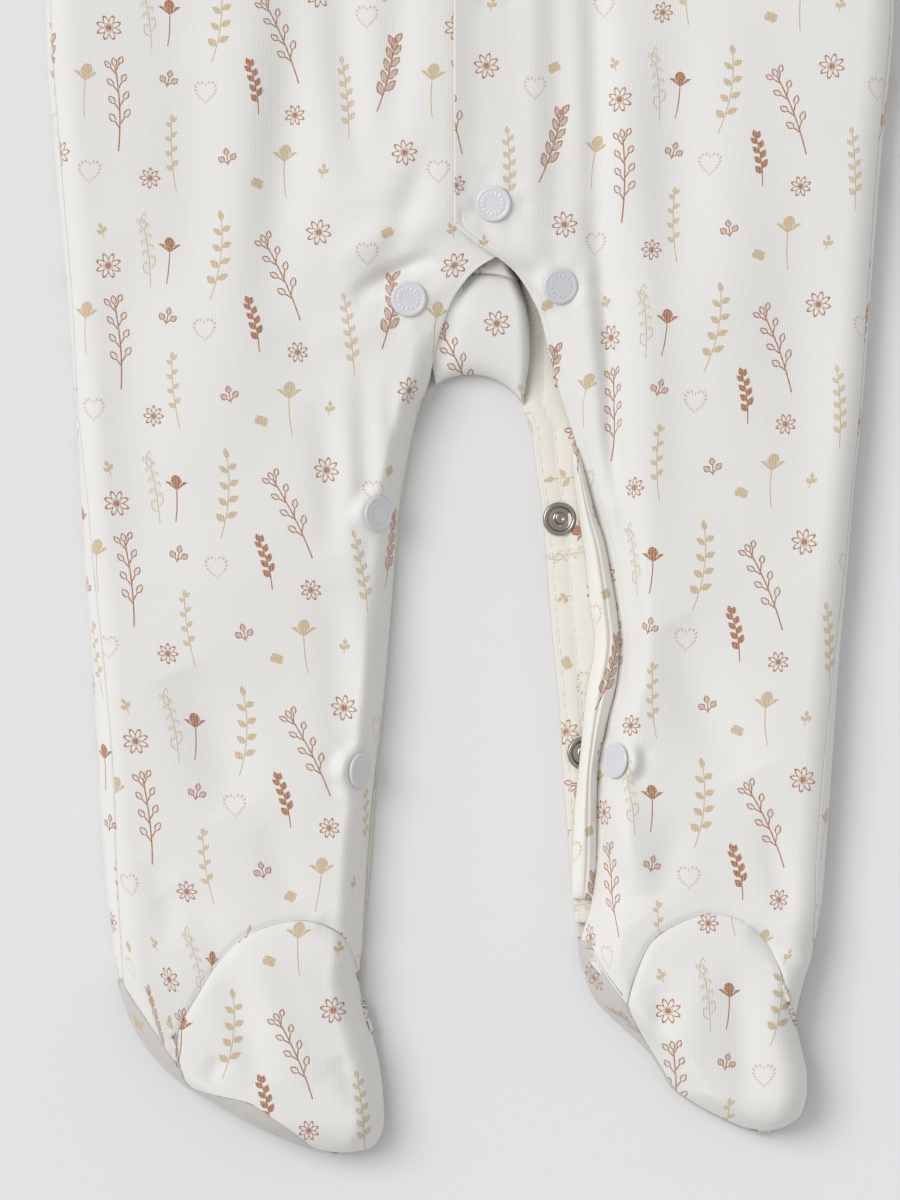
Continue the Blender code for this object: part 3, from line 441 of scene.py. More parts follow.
def motif(tree):
    """How much ink lies at each point: the motif's form in its own millimetres, chosen by its number."""
    x, y, stagger, _ = attribute(tree, "spot")
    high, first, pitch, last = attribute(tree, "stem")
    sine, cosine, stalk, leaf = attribute(tree, "leaf")
    half, solid, bow, line = attribute(tree, "mark")
    form = attribute(tree, "ink")[3]
    up = y + high * 0.5
    share = up / high
    across = x - bow * share * (1 - share) * 4
    aside = abs(across)
    on_stem = within(aside - line * 0.5) * within(0 - up)
    # a stem with leaves on both sides: k is the leaf's number, c and s its own place across and along
    shift = first + (across > 0) * stagger * pitch
    step = pitch * sine
    k = ((up - shift) * sine - aside * cosine) / step
    k = k.math("ROUND").math("MAXIMUM", 0).math("MINIMUM", last)
    rise = up - shift - k * pitch
    c = rise * sine - aside * cosine
    s = aside * sine + rise * cosine
    size = 1.12 - share * 0.3
    roundness = 1 - stalk * 0.1
    side_leaf = one_leaf(c, s - stalk, leaf * size, half * size, solid, line, roundness) * within(0 - s)
    top = one_leaf(across, up - high + leaf * 0.9, leaf * 0.9, half * 0.9, solid, line, roundness)
    stem = on_stem * within(up - high + leaf * 0.8)
    sprig = side_leaf.math("MAXIMUM", stem).math("MAXIMUM", top * within(high - leaf * 1.1 - up))
    # a daisy of eight outlined petals: the turn is folded into one petal
    radius = (x * x + y * y).math("SQRT")
    turn = y.math("ARCTAN2", x)
    fold = (turn * (8 / (2 * math.pi)) % 1.0 - 0.5) * (2 * math.pi / 8)
    out, off = radius * fold.math("COSINE"), radius * fold.math("SINE")
    a, b = (out / leaf - 0.56) * 2.27, off / half
    ring = abs((a * a + b * b).math("SQRT") - 1) * half - line * 0.5
    heart_of = within(radius - leaf * 0.13) * 0.9
    rays = within(abs(off) - line * 0.4) * within(radius - leaf * 0.42)
    daisy = within(ring).math("MAXIMUM", heart_of).math("MAXIMUM", rays)
    # a heart drawn in dots: x^2 + (1.1 y - 0.75 sqrt|x|)^2 = 1
    a = x / leaf
    b = (y / leaf + 0.12) * 1.15 - abs(a).math("SQRT") * 0.72
    edge = abs((a * a + b * b).math("SQRT") - 1) * leaf * 0.72 - line * 0.5
    dots = ((turn * 20).math("COSINE") + 0.35) * 3
    heart = within(edge) * dots.math("MULTIPLY", 1, clamp=True) * 0.9
    # a cup flower: a fan of petals with a scalloped edge on a thin stem
    base = up - high + leaf
    reach = (across * across + base * base).math("SQRT")
    lean = across.math("ARCTAN2", base)
    petals = abs((lean * 2.6).math("COSINE"))
    fan = within(reach - leaf * (0.62 + petals * 0.38)) * within((abs(lean) - 0.95) * half)
    gaps = within((petals - 0.14) * 0.5) * within(leaf * 0.35 - reach)
    cup = (fan * (1 - gaps * 0.8)).math("MAXIMUM", on_stem * within(up - high + leaf))
    for number, drawn in ((1, daisy), (2, heart), (3, cup)):
        chosen = form.math("COMPARE", number, 0.5)
        sprig = sprig + (drawn - sprig) * chosen
    return sprig.math("MULTIPLY", 1, clamp=True)


def interlock(name, colour, shade, ink=1.0):
    """Cotton interlock: fine wales along the grain, a fuzzy matt surface, and the print's ink lying in the
    knit's ridges, broken a little by its grooves."""
    made, tree, shader = material(name, Sheen_Weight=0.25, Sheen_Roughness=0.6, Specular_IOR_Level=0.2)
    u, v, _, _ = attribute(tree, "grain")
    fuzz, cloud = noise(tree, FUZZ, Detail=2.0, Roughness=0.6), noise(tree, 55.0, Detail=2.0)
    wale = ((u + fuzz * 0.12) * (2 * math.pi / WALE)).math("SINE")
    course = ((v + wale * 0.08) * (2 * math.pi / COURSE)).math("SINE")
    # tone: random mottling of the knit, plus a slight painted shade in the wales' grooves
    tone = (fuzz - 0.5) * 0.1 + (cloud - 0.5) * 0.12 + wale * 0.022 + 0.5
    cover = motif(tree) * (wale * 0.12 + course * 0.06 + (fuzz - 0.5) * 1.1 + 0.86) * ink
    inks = node(tree, "ShaderNodeAttribute", dict(attribute_name="ink")).outputs["Color"]
    painted = mixed(tree, cover.math("MULTIPLY", 1, clamp=True), mixed(tree, tone, shade, colour), inks)
    surface(tree, shader, painted, wale * 0.34 + course * 0.2 + fuzz * 0.9, 0.5, 0.00012)
    tree.links.new((fuzz * 0.1 + 0.82).socket, shader.inputs["Roughness"])
    return made


def linked(name, data):
    """An object in the scene from a mesh, lamp or camera."""
    made = bpy.data.objects.new(name, data)
    bpy.context.collection.objects.link(made)
    return made


def piece_of(name, points, faces, *materials):
    """A smooth piece of the garment from points in millimetres and faces, riding on the garment."""
    mesh = bpy.data.meshes.new(name)
    mesh.from_pydata(((points - (0, ORIGIN_Y, 0)) * MM).tolist(), [], faces)
    mesh.shade_smooth()
    for layer in materials:
        mesh.materials.append(layer)
    piece = linked(name, mesh)
    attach(piece, "root")
    return piece


def cloth(name, grids, materials, wall=CLOTH, outwards=1):
    """A sheet of cloth from grids of (points, print u, print v), welded where they meet. The faces look
    outwards * +Z on the whole, or as given where it is None, and a wall of the last material grows inwards
    from them."""
    points = np.concatenate([p.reshape(-1, 3) for p, _, _ in grids])
    welded, index = np.unique(np.round(points, 3), axis=0, return_inverse=True)
    index = index.reshape(-1)
    quads, us, vs, start = [], [], [], 0
    for p, u, v in grids:
        at = np.arange(start, start + u.size).reshape(u.shape)
        start += u.size
        corners = [at[:-1, :-1], at[:-1, 1:], at[1:, 1:], at[1:, :-1]]
        quads.append(np.stack(corners, -1).reshape(-1, 4))
    quads = np.concatenate(quads)
    us = np.concatenate([np.broadcast_to(u, p.shape[:2]).reshape(-1) for p, u, _ in grids])
    vs = np.concatenate([np.broadcast_to(v, p.shape[:2]).reshape(-1) for p, _, v in grids])
    corners = welded[index[quads]]
    normals = np.cross(corners[:, 2] - corners[:, 0], corners[:, 3] - corners[:, 1])
    whole = np.linalg.norm(normals, axis=1) > 1e-4
    quads, normals = quads[whole], normals[whole]
    if outwards and outwards * normals[:, 2].sum() < 0:
        quads = quads[:, ::-1]
    faces = [list(dict.fromkeys(face)) for face in index[quads].tolist()]
    keep = np.array([len(face) > 2 for face in faces])
    quads, faces = quads[keep], [face for face in faces if len(face) > 2]
    piece = piece_of(name, welded, faces, *materials)
    sizes = np.array([len(face) for face in faces])
    corner = np.arange(4)[None, :] < sizes[:, None]
    data = printed(us[quads], vs[quads])
    data["grain"] = np.stack([us[quads], vs[quads], 0 * us[quads]], -1)
    for key, values in data.items():
        if values.ndim == 2:
            values = np.repeat(values[:, None], 4, axis=1)
        kind, field = ("FLOAT_VECTOR", "vector") if values.shape[-1] == 3 else ("FLOAT_COLOR", "color")
        stored = piece.data.attributes.new(key, kind, "CORNER")
        stored.data.foreach_set(field, values[corner].astype(np.float32).ravel())
    thickness = piece.modifiers.new("wall", "SOLIDIFY")
    thickness.thickness = wall * MM
    thickness.offset = -1
    thickness.material_offset = thickness.material_offset_rim = len(materials) - 1
    return piece


def run_along(points):
    """Distance along each row of a grid from its first column."""
    steps = np.linalg.norm(np.diff(points, axis=1), axis=-1)
    return np.concatenate((np.zeros((len(points), 1)), np.cumsum(steps, axis=1)), axis=1)


def arc_print(points):
    """Distance along each row of a grid from its middle column, so that a print keeps its scale where the
    cloth curves."""
    run = run_along(points)
    return run - run[:, run.shape[1] // 2][:, None]


def spread(columns, crowd=0.115):
    """Places from 0 to 1 that crowd towards both ends: t - crowd * sin(2 pi t)."""
    t = np.linspace(0, 1, columns)
    return t - crowd * np.sin(2 * math.pi * t)


def through(points, t):
    """A smooth curve through points at shares t of its chord length: cubic pieces whose slope at a point
    comes from both its neighbours."""
    points = np.array(points, float)
    steps = np.linalg.norm(np.diff(points, axis=0), axis=1)
    at = np.concatenate(([0], np.cumsum(steps))) / steps.sum()
    slopes = np.gradient(points, at, axis=0)
    t = np.asarray(t, float)
    k = np.clip(np.searchsorted(at, t, side="right") - 1, 0, len(at) - 2)
    span = (at[k + 1] - at[k])[..., None]
    return cubic(points, slopes, k, span, (t - at[k])[..., None] / span)


def heights(top, bottom):
    """Row heights from top to bottom: coarse above the framed part and fine in it."""
    upper = np.arange(top, max(FRAMED_Y, bottom), -COARSE)
    lower = np.arange(min(top, upper[-1] - COARSE if len(upper) else top), bottom, -FINE)
    return np.append(np.concatenate((upper, lower)), bottom)


def floor_height(away, roll=FLOOR_ROLL):
    """The underside: level on the surface, then a quarter circle up to the widest line at the edge."""
    return WIDEST_Z * (1 - rounded(away / roll))


def rim(edge, seam, y, side, count=6):
    """Points from the widest line over the rolled edge to the side seam on top, and turned under there,
    for rows at heights y."""
    sign = SIGN[side]
    x = sign * (edge[:, None] - seam[:, None] * np.linspace(0, 1, count))
    rows = np.broadcast_to(y[:, None], x.shape)
    top = points_of(x, rows, front_height(x, rows, side))
    return np.concatenate((top, top[:, -1:] - (sign * 1.1, 0, 1.4)), axis=1)


def back_rows(y, inner, outer, side, columns):
    """Rows of the back between an inner and an outer edge, at distances from the middle."""
    places = spread(columns)
    across = inner[:, None] + (outer - inner)[:, None] * places
    flat = points_of(SIGN[side] * across, y[:, None], floor_height(outer[:, None] - across))
    top = rim(outer, along(SIDES, side + "_seam", y), y, side)
    return np.concatenate((flat[:, :-1], top), axis=1)


def back_grids():
    """The back: the trunk's two halves, the shoulders above them and the legs below, on one crotch row."""
    grids = []
    for side, sign in SIGN.items():
        low = heights(ARMPIT_Y, 0.0)
        trunk = back_rows(low, 0 * low, along(SIDES, side, low), side, 46)
        leg_y = heights(0.0, BACK_END[side])
        arch = ARCH_WIDTH * np.sqrt(np.clip(1 - (1 + leg_y / ARCH_HEIGHT) ** 2, 0, 1))
        inner = np.where(leg_y > -ARCH_HEIGHT, arch, along(BACK_INSEAM, side, leg_y))
        leg = back_rows(leg_y, inner, along(SIDES, side, leg_y), side, 46)
        share = sign * trunk[0, :, 0] / CHEST
        line = np.array([(0, BACK_NECK_Y), (25, BACK_NECK_Y), NECK_SIDE, SHOULDER], float)
        top = through(line, share) * (sign, 1)
        t = np.linspace(1, 0, 44)[:, None]
        plan = trunk[0, :, :2] * (1 - t[..., None]) + top * t[..., None]
        seamed = np.abs(plan[..., 0]) > NECK_SIDE[0] - 2
        under = np.where(seamed, floor_height((1 - t) * (SHOULDER[1] - ARMPIT_Y) + LAYER), 0)
        corner = floor_height(np.hypot(np.abs(plan[..., 0]) - CHEST, plan[..., 1] - ARMPIT_Y))
        z = np.maximum(under, corner) * (1 - (t == 0)) + trunk[0, :, 2] * (t == 0)
        upper = np.concatenate((plan, z[..., None]), axis=-1)
        for points in (upper, trunk, leg):
            run = arc_print(points)
            u = -(sign * (run - run[:, :1]) + points[:, :1, 0])
            grids.append(tuple(values[:, ::sign] for values in (points, u, points[..., 1])))
    return grids


IVORY, IVORY_SHADE = (0.785, 0.775, 0.752), (0.735, 0.722, 0.695)
knit = interlock("printed_interlock", IVORY, IVORY_SHADE)
# The knit's reverse, on the inner faces and cut edges, with the print faintly through. Part of its cream is
# its own colour; the rest is a painted warm bounce light, tinting it warmer and yellower in the hollows
# where it shows.
inside = interlock("interlock_inside_warm_bounce", (0.80, 0.765, 0.68), (0.76, 0.72, 0.63), ink=0.22)
back = cloth("back_cloth", back_grids(), (knit, inside), outwards=-1)
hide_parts("back")


# ---- Fronts ----------------------------------------------------------------------------------------
# Each front is one piece of interlock from the shoulder to the foot seams. The left one laps over the right
# one as far as the crotch. Both keep soft folds from lying loose, and are pressed flat round their snaps.

FRONT_NECK_Y = 300.0
SHOULDER_ROWS, FOOT_ROWS = 42, 46
ANKLE_Y = -138.0  # the fronts are fitted to the foot seams below this line
HEM_FURROW = dict(right=0.08, left=0.32)
SEAM_SHARE = 0.78  # share of a front's lower edge that runs along the vamp's arch
ARCHES = dict(
    right=((-33, -173), (-38, -161.6), (-48, -157.6), (-56.3, -158.7), (-65.5, -162.6), (-71.3, -168.2),
           (-78.9, -179.8), (-82.9, -187), (-84.6, -195), (-83.2, -202)),
    left=((45.5, -182.6), (46.3, -178), (48.4, -171.4), (52.5, -163.4), (57.4, -159.8), (63.2, -157),
          (69, -155.6), (76.6, -157), (84, -162.4), (88.6, -171), (91.6, -181), (93.7, -187.5)),
)
RIGHT_LEG_SEAM = ((-99.3, -176.5), (-94.3, -184), (-89.4, -191), (-86.2, -196.8), (-84.1, -201.4))
LEFT_LEG_SEAM = ((36.6, -168), (39.9, -174.5), (43.0, -179.2), (44.9, -182.2))
# Snaps: name, side, place and extra lean. The first four close the front; the others are on the inseams.
SNAPS = (
    ("front_1", "left", 6.7, 48.7, 0.1), ("front_2", "left", 6.7, 115.2, 0),
    ("front_3", "left", 6.7, 181.7, 0), ("front_4", "left", 6.7, 248.2, 0),
    ("right_top", "right", -17.7, 21.5, 0), ("right_knee", "right", -26.9, -40.3, -0.4),
    ("right_shin", "right", -32.2, -114.3, -0.3), ("left_top", "left", 25.8, 25.2, -0.42),
    ("left_shin", "left", 42.4, -111.6, 0.2),
)
# How far the grain drifts towards +X, and where the print's repeat starts, on each front.
GRAIN = dict(y=(110, 30, -35, -103, -170), right=(0, 0, 2.6, 7.8, 13.0), left=(2.0, -2.0, -7.0, -8.0, -6.0))
PRINT_START = dict(right=(-103.0, 77.5), left=(43.9, 56.8))


def lapped_height(x, y, side):
    """A front's surface: the left one is lifted where it lies on the right one's edge."""
    lap = LAYER * np.clip((24 - x) / 6, 0, 1) * np.clip((y - 30) / 6, 0, 1)
    return front_height(x, y, side) + (lap if side == "left" else 0)


def snap_plane(x, y, side, lean):
    """The slopes and height of the cloth under a snap, measured across its cap, and its extra lean."""
    step = 2.6
    slope_x = (lapped_height(x + step, y, side) - lapped_height(x - step, y, side)) / (2 * step)
    slope_y = (lapped_height(x, y + step, side) - lapped_height(x, y - step, side)) / (2 * step)
    return float(slope_x) + lean, float(slope_y), float(lapped_height(x, y, side)) - abs(lean)


def pressed(x, y, z, side):
    """Cloth held flat under each snap, with short puckers round it: z moves to the snap's plane by
    exp(-(r / 6.2)^6), and a ring of waves cos(7 a) stands from 6 to 12 mm out."""
    for _, snap_side, sx, sy, lean in SNAPS:
        if snap_side != side:
            continue
        slope_x, slope_y, level = snap_plane(np.array(float(sx)), np.array(float(sy)), side, lean)
        dx, dy = x - sx, y - sy
        out = np.hypot(dx, dy)
        plane = level + slope_x * dx + slope_y * dy
        z = z + (plane - z) * bell(out, 6.2, 6)
        z = z - 0.28 * bell(out - 8.5, 2.4) * (1 + np.cos(7 * np.arctan2(dy, dx) + sx))
    return z


def neckline(x):
    """The fronts' neckline: a quarter ellipse from the lowest point at the centre up to the shoulder."""
    depth = NECK_SIDE[1] - FRONT_NECK_Y
    return FRONT_NECK_Y + depth * (1 - np.sqrt(1 - np.minimum(1, (x / NECK_SIDE[0]) ** 2)))


def foot_edge(side, columns):
    """A front's lower edge: along the vamp's arch, and then beside it along the sole."""
    q = np.linspace(0, 1, columns)
    if side == "right":
        return np.where(q[:, None] < SEAM_SHARE, through(ARCHES[side], q / SEAM_SHARE),
                        through(RIGHT_LEG_SEAM[::-1], (q - SEAM_SHARE) / (1 - SEAM_SHARE)))
    start = 1 - SEAM_SHARE
    return np.where(q[:, None] < start, through(LEFT_LEG_SEAM, q / start),
                    through(ARCHES[side], (q - start) / SEAM_SHARE))


def front_sides(side, inner_y, outer_y):
    """How far from the middle a front's inner and outer edges lie below the ankle: beside the side seam,
    then beside the sole's seam, or on the outline where the sole has none."""
    foot = foot_of(side)[0]
    on_leg = seam_line(side, outer_y) - SEAM_GAP
    if side == "right":
        on_foot = -along(foot, "low_x", outer_y) - along(foot, "seam", outer_y) - SEAM_GAP
        return along(RIGHT_FRONT, "edge", inner_y), np.where(outer_y > foot["y"][0], on_leg, on_foot)
    beside_sole = along(foot, "low_x", inner_y) + along(foot, "seam", inner_y) + SEAM_GAP
    inner = np.where(inner_y > foot["y"][0], along(LEFT_FRONT, "edge", inner_y), beside_sole)
    return inner, np.where(outer_y > BACK_END[side] - 1, on_leg, along(foot, "high_x", outer_y))


def front_plan(side, columns):
    """A front's points in plan, by rows: blended to the shoulder, level on the trunk and leg, and blended
    to the foot's seams."""
    sign, front = SIGN[side], FRONTS[side]
    places = spread(columns)

    def level(y):
        inner = along(front, "edge", y)
        outer = seam_line(side, y) - SEAM_GAP
        across = inner[:, None] + (outer - inner)[:, None] * places
        return np.stack([sign * across, np.broadcast_to(y[:, None], across.shape)], -1)

    neck_x = np.linspace(float(along(front, "edge", ARMPIT_Y)), NECK_SIDE[0], 60)
    neck = np.concatenate((np.stack([neck_x, neckline(neck_x)], -1), [(SHOULDER[0] - GAP, SHOULDER[1])]))
    run = run_along(neck[None])[0]
    top = np.stack([np.interp(places, run / run[-1], neck[:, k]) for k in (0, 1)], -1) * (sign, 1)
    t = np.linspace(1, 0, SHOULDER_ROWS)[:-1, None, None]
    armpit, ankle = level(np.array([ARMPIT_Y])), level(np.array([ANKLE_Y]))
    fall = np.linspace(0, 1, FOOT_ROWS)[1:, None, None]
    foot = ankle * (1 - fall) + foot_edge(side, columns) * fall
    inner, outer = front_sides(side, foot[:, 0, 1], foot[:, -1, 1])
    foot[..., 0] += (sign * outer - foot[:, -1, 0])[:, None] * places**5
    foot[..., 0] += (sign * inner - foot[:, 0, 0])[:, None] * (1 - places) ** 5
    return np.concatenate((armpit * (1 - t) + top * t, level(heights(ARMPIT_Y, ANKLE_Y)), foot))


def seam_dip(x, y, side):
    """The furrow along the vamp's arch: the cloth is drawn down within about 1 mm of the seam, and a
    little within 5 mm, more and less along its length."""
    arch = through(ARCHES[side], np.linspace(0, 1, 300))
    near = (y < ANKLE_Y + 8) & (y > ANKLE_Y - 80)
    dip = np.zeros(np.shape(x))
    apart = np.hypot(x[near][:, None] - arch[:, 0], y[near][:, None] - arch[:, 1])
    off = apart.min(axis=1)
    uneven = 1 + 0.4 * np.sin(x[near] / 4.1) * np.sin(y[near] / 5.3 + 1)
    dip[near] = 0.7 * bell(off, 1.1) + 0.45 * uneven * bell(off, 5.5)
    return dip


def side_puckers(x, y, side):
    """Slight puckers along the side seam and the inner hem, fading over 5 mm, and the hem's own furrow."""
    across = SIGN[side] * x
    from_hem, from_side = across - along(FRONTS[side], "edge", y), seam_line(side, y) - across
    wave = np.sin(y / 1.55 + 1.3 * np.sin(y / 6.1)) * (0.6 + 0.4 * np.sin(y / 14.0 + 2))
    hem = HEM_FURROW[side] * bell(from_hem - 1.9, 0.5) * (y < 46) * (y > ANKLE_Y)
    return 0.1 * wave * bell(from_hem, 5) + 0.07 * wave * bell(from_side, 4) - hem


def front_grid(side, columns=112):
    """A front's points and print coordinates."""
    plan = front_plan(side, columns)
    x, y = plan[..., 0], plan[..., 1]
    z = pressed(x, y, lapped_height(x, y, side), side) - seam_dip(x, y, side) + side_puckers(x, y, side)
    points = points_of(x, y, z)
    middle = x[:, x.shape[1] // 2]
    drift = np.interp(y[:, x.shape[1] // 2], GRAIN["y"][::-1], GRAIN[side][::-1])
    start = PRINT_START[side]
    u = arc_print(points) * SIGN[side] + (middle - drift - start[0])[:, None]
    return points, u, y - start[1]


for side in SIGN:
    front = cloth(f"front_{side}_cloth", [front_grid(side)], (knit, inside))
    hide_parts(f"front_{side}")


# ---- Feet ------------------------------------------------------------------------------------------
# Each foot has an upper, the vamp, set into the front along an arched seam, and a sole of the same cloth
# that comes up over one side. The seams are sewn inside, so only a furrow with small gathers shows.

# Heights of the points along a vamp's toe edge: on the side with the sole's seam, and on the other.
TOE_POINTS = dict(
    right=((-204.6, -208.4, -217, -221, -223.8), (-178, -185, -192, -200, -208, -215, -220, -223.4)),
    left=((-184.6, -191, -198, -208, -215.5, -218), (-188.4, -192, -197, -203, -209, -214, -217.4)),
)
ALLOWANCE = 1.3  # cloth turned under at a seam, and how far it dips below the other piece
FOOT_PRINT = dict(right=(-98.9, -9.4), left=(58.6, 68.5))
SOLE_PRINT = (30, -9)


def toe_edge(side):
    """The vamp's outer edge: down one side of the foot, round the toe and up the other. On the side towards
    -X it follows the sole's seam, and on the other the outline."""
    foot = foot_of(side)[0]
    share = np.linspace(0, 1, 33)
    low, high = (np.interp(share, np.linspace(0, 1, len(rows)), rows) for rows in TOE_POINTS[side])
    seamed = np.stack([along(foot, "low_x", low) + along(foot, "seam", low) + SEAM_GAP, low + SEAM_GAP], -1)
    plain = np.stack([along(foot, "high_x", high), high], -1)
    toe = [((foot["low_x"][-1] + foot["high_x"][-1]) / 2, foot["y"][-1] + 2 * GAP)]
    return np.concatenate((plain, toe, seamed[::-1]) if side == "right" else (seamed, toe, plain[::-1]))


def vamp_grid(side, columns=112, rows=60):
    """A vamp: rows from the arch seam to the toe edge, closer together towards the toe, with a first row
    turned under at the seam."""
    places = np.linspace(0, 1, columns)
    start = through(ARCHES[side], places)
    end = through(toe_edge(side), places)
    inwards = start.mean(axis=0) - start
    inwards /= np.linalg.norm(inwards, axis=1)[:, None]
    t = np.sin(np.linspace(0, math.pi / 2, rows))[:, None, None]
    plan = (start + inwards * SEAM_GAP) * (1 - t) + end * t
    x, y = plan[..., 0], plan[..., 1]
    points = points_of(x, y, front_height(x, y, side) - seam_dip(x, y, side))
    under = np.column_stack((start - inwards * 0.9, points[0, :, 2] - ALLOWANCE))
    points = np.concatenate((under[None], points))
    start_u, start_v = FOOT_PRINT[side]
    return points, points[..., 0] - start_u, points[..., 1] - start_v


def sole_grid(side, columns=70):
    """A sole: a shallow tray under the foot, z = WIDEST_Z (1 - roll), whose rim comes up over the side
    towards -X to its seam and turns under there."""
    foot = foot_of(side)[0]
    y = np.append(np.arange(BACK_END[side] - 0.2, foot["y"][-1], -FINE), foot["y"][-1])
    left, right = along(foot, "low_x", y), along(foot, "high_x", y)
    seam = along(foot, "seam", y)
    top_x = left[:, None] + seam[:, None] * np.linspace(1, 0, 9)[None, :-1]
    top_y = np.broadcast_to(y[:, None], top_x.shape)
    top = points_of(top_x, top_y, front_height(top_x, top_y, side))
    under = top[:, :1] + (ALLOWANCE, 0, -ALLOWANCE)
    x = left[:, None] + (right - left)[:, None] * spread(columns)
    toe = rounded((y - foot["y"][-1]) / FLOOR_ROLL)[:, None]
    inner = np.minimum(along(FRONTS[side], "low", y), WIDEST_Z)[:, None] - LAYER - GAP
    far_edge = inner if side == "right" else WIDEST_Z - 2 * GAP
    edge = np.where(x < (left + right)[:, None] / 2, WIDEST_Z, far_edge)
    roll = rounded((x - left[:, None]) / FLOOR_ROLL) * rounded((right[:, None] - x) / FLOOR_ROLL)
    tray = points_of(x, y[:, None], edge * (1 - roll * toe))
    points = np.concatenate((under, top, tray), axis=1)
    return points, arc_print(points) + SOLE_PRINT[0], points[..., 1] + SOLE_PRINT[1]


# The soles' knit is painted darker and greyer than the ivory: a painted shade for the soles, which lie in
# shadow at the foot's steep edge. The cloth itself is the same as the rest.
shaded_sole_knit = interlock("shaded_sole_interlock", (0.60, 0.58, 0.55), (0.52, 0.50, 0.47))
for side in SIGN:
    vamp = cloth(f"vamp_{side}_cloth", [vamp_grid(side)], (knit, inside))
    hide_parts(f"vamp_{side}")
    sole = cloth(f"sole_{side}_cloth", [sole_grid(side)], (shaded_sole_knit, inside), outwards=-1)
    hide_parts(f"sole_{side}")


# ---- Crotch tab and the back's facing --------------------------------------------------------------
# The back's crotch comes up between the legs as a soft tab under both fronts, hemmed by a faced seam near
# its top. A facing, cut with the print turned a quarter turn, edges the back's open inseam and is stitched
# down with two rows.

# The tab follows the arch: how far out each row lies, how far to the right and left it reaches, its height.
TAB = dict(
    y=(46.0, 38.0, 32.0, 28.6, 27.8, 27.0, 22.0, 17.0, 13.0, 9.0, 6.0, 3.3, 1.2, 0.3, 0.0),
    start=(12, 12.5, 13.5, 14.2, 14.3, 14.4, 15.5, 16, 16, 14.5, 11.5, 10.6, 10.2, 10, 10),
    fold=(9, 10.5, 12.4, 14.2, 14.5, 14.8, 16.7, 17.4, 17.5, 17.2, 16.6, 16.0, 15.7, 15.5, 15.5),
    height=(7.6, 9.0, 9.8, 10.0, 9.9, 10.3, 11.2, 11.2, 10.8, 10.2, 9.4, 8.2, 6.2, 4.4, 2.9),
)
FACING_WIDTH, FACING_END = 23.0, -159.0
STITCH_ROWS = (1.6, 6.4)  # how far in from the facing's edge its two furrows lie
TAB_SEAM = 28.6  # how far out the tab's faced edge is sewn
TAB_PRINT, FACING_PRINT = (51.8, 17.2), (61.0, -9.0)  # what places the print on each


def tab_grid(columns=70):
    """The tab: rows along ellipses round the arch, x = wide cos(a) and y = high sin(a) - ARCH_HEIGHT, that
    sink towards both sides and have a slack fold across them."""
    out = np.concatenate((np.linspace(0, 3, 12), np.arange(3.8, 46, 0.9)))
    wide, high = ARCH_WIDTH + out, ARCH_HEIGHT + out
    first, last = np.arccos(-along(TAB, "start", out) / wide), np.arccos(along(TAB, "fold", out) / wide)
    share = np.linspace(0, 1, columns)
    angles = first[:, None] + (last - first)[:, None] * share
    x = wide[:, None] * np.cos(angles)
    y = high[:, None] * np.sin(angles) - ARCH_HEIGHT
    crown = np.minimum(rounded((1 - share) / 0.13), rounded((share + 0.12) / 0.5))
    level = along(TAB, "height", out)[:, None]
    slack = (0.5 * np.sin((x * 0.8 + y) / 4.6 + 0.6) * bell(out - 13, 7)[:, None]
             + 1.1 * bell(x + 9.5 - 0.3 * y, 2.6))
    base = LOW_LAYER + 1.6 * eased(share * 2 - 1) * rounded(out / 5)[:, None]
    z = base + (np.maximum(level, base) - base) * crown - slack * crown * rounded(out / 4)[:, None]
    points = points_of(x, y, z)
    return points, x + TAB_PRINT[0], y + TAB_PRINT[1], out


def facing_left(y):
    """The facing's inseam edge: a little under the tab, then on the back's own edge."""
    beside_tab = 14.5 + 3.7 * eased((-8 - y) / 8)
    return np.where(y < -16, along(BACK_INSEAM, "left", y), beside_tab)


def facing_grid(columns=30):
    """The facing: a flat strip from its inseam edge to under the front, with a shallow furrow under each
    row of stitches and a slight swell between them."""
    y = np.arange(30, FACING_END, -FINE)
    left = facing_left(y)
    off = np.linspace(0, 1, columns) * FACING_WIDTH
    x = left[:, None] + off
    rows = np.broadcast_to(y[:, None], x.shape)
    swell = 0.55 * rounded(off / 2.0) - 0.35 * bell(off - STITCH_ROWS[0], 0.7)
    swell = swell - 0.4 * bell(off - STITCH_ROWS[1], 0.8)
    swell = swell + 0.35 * np.sin(math.pi * np.clip((off - 6) / 12, 0, 1))
    wave = 0.16 * np.sin(rows / 2.4 + 0.8 * np.sin(rows / 7)) * bell(off - STITCH_ROWS[1], 4)
    slack = 0.5 * np.sin(rows / 11.0 + off / 9) * np.clip(off / 10, 0, 1)
    tucked = 0.5 * bell(off, 2.5) * (rows > -12)
    points = points_of(x, rows, LOW_LAYER + 0.25 + swell + wave + slack * 0.6 - tucked)
    return points, rows + FACING_PRINT[0], FACING_PRINT[1] - x


# The facing is the same cloth as the ivory. Its warmer cream is a painted warm bounce light for the shade it
# lies in beside the tab.
CREAM, CREAM_SHADE = (0.80, 0.772, 0.715), (0.765, 0.725, 0.65)
warm_lit_facing_knit = interlock("warm_lit_facing_interlock", CREAM, CREAM_SHADE, ink=0.95)
points, u, v, out = tab_grid()
seam = int(np.searchsorted(out, TAB_SEAM))
points[seam, :, 2] -= 0.9
tab = cloth("crotch_tab_cloth", [(points[: seam + 1], u[: seam + 1], v[: seam + 1])], (knit, inside))
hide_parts("crotch_tab")
tab_facing = cloth("tab_facing_cloth", [(points[seam:], v[seam:], u[seam:])], (warm_lit_facing_knit, inside))
facing = cloth("back_facing_cloth", [facing_grid()], (warm_lit_facing_knit, inside))
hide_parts("back_placket")


# ---- Front placket ---------------------------------------------------------------------------------
# The left front's inseam edge is a stitched double band of the cloth. Left open, it curls up on its side
# into two soft ridges with a furrow between them, from below the crotch to the ankle.

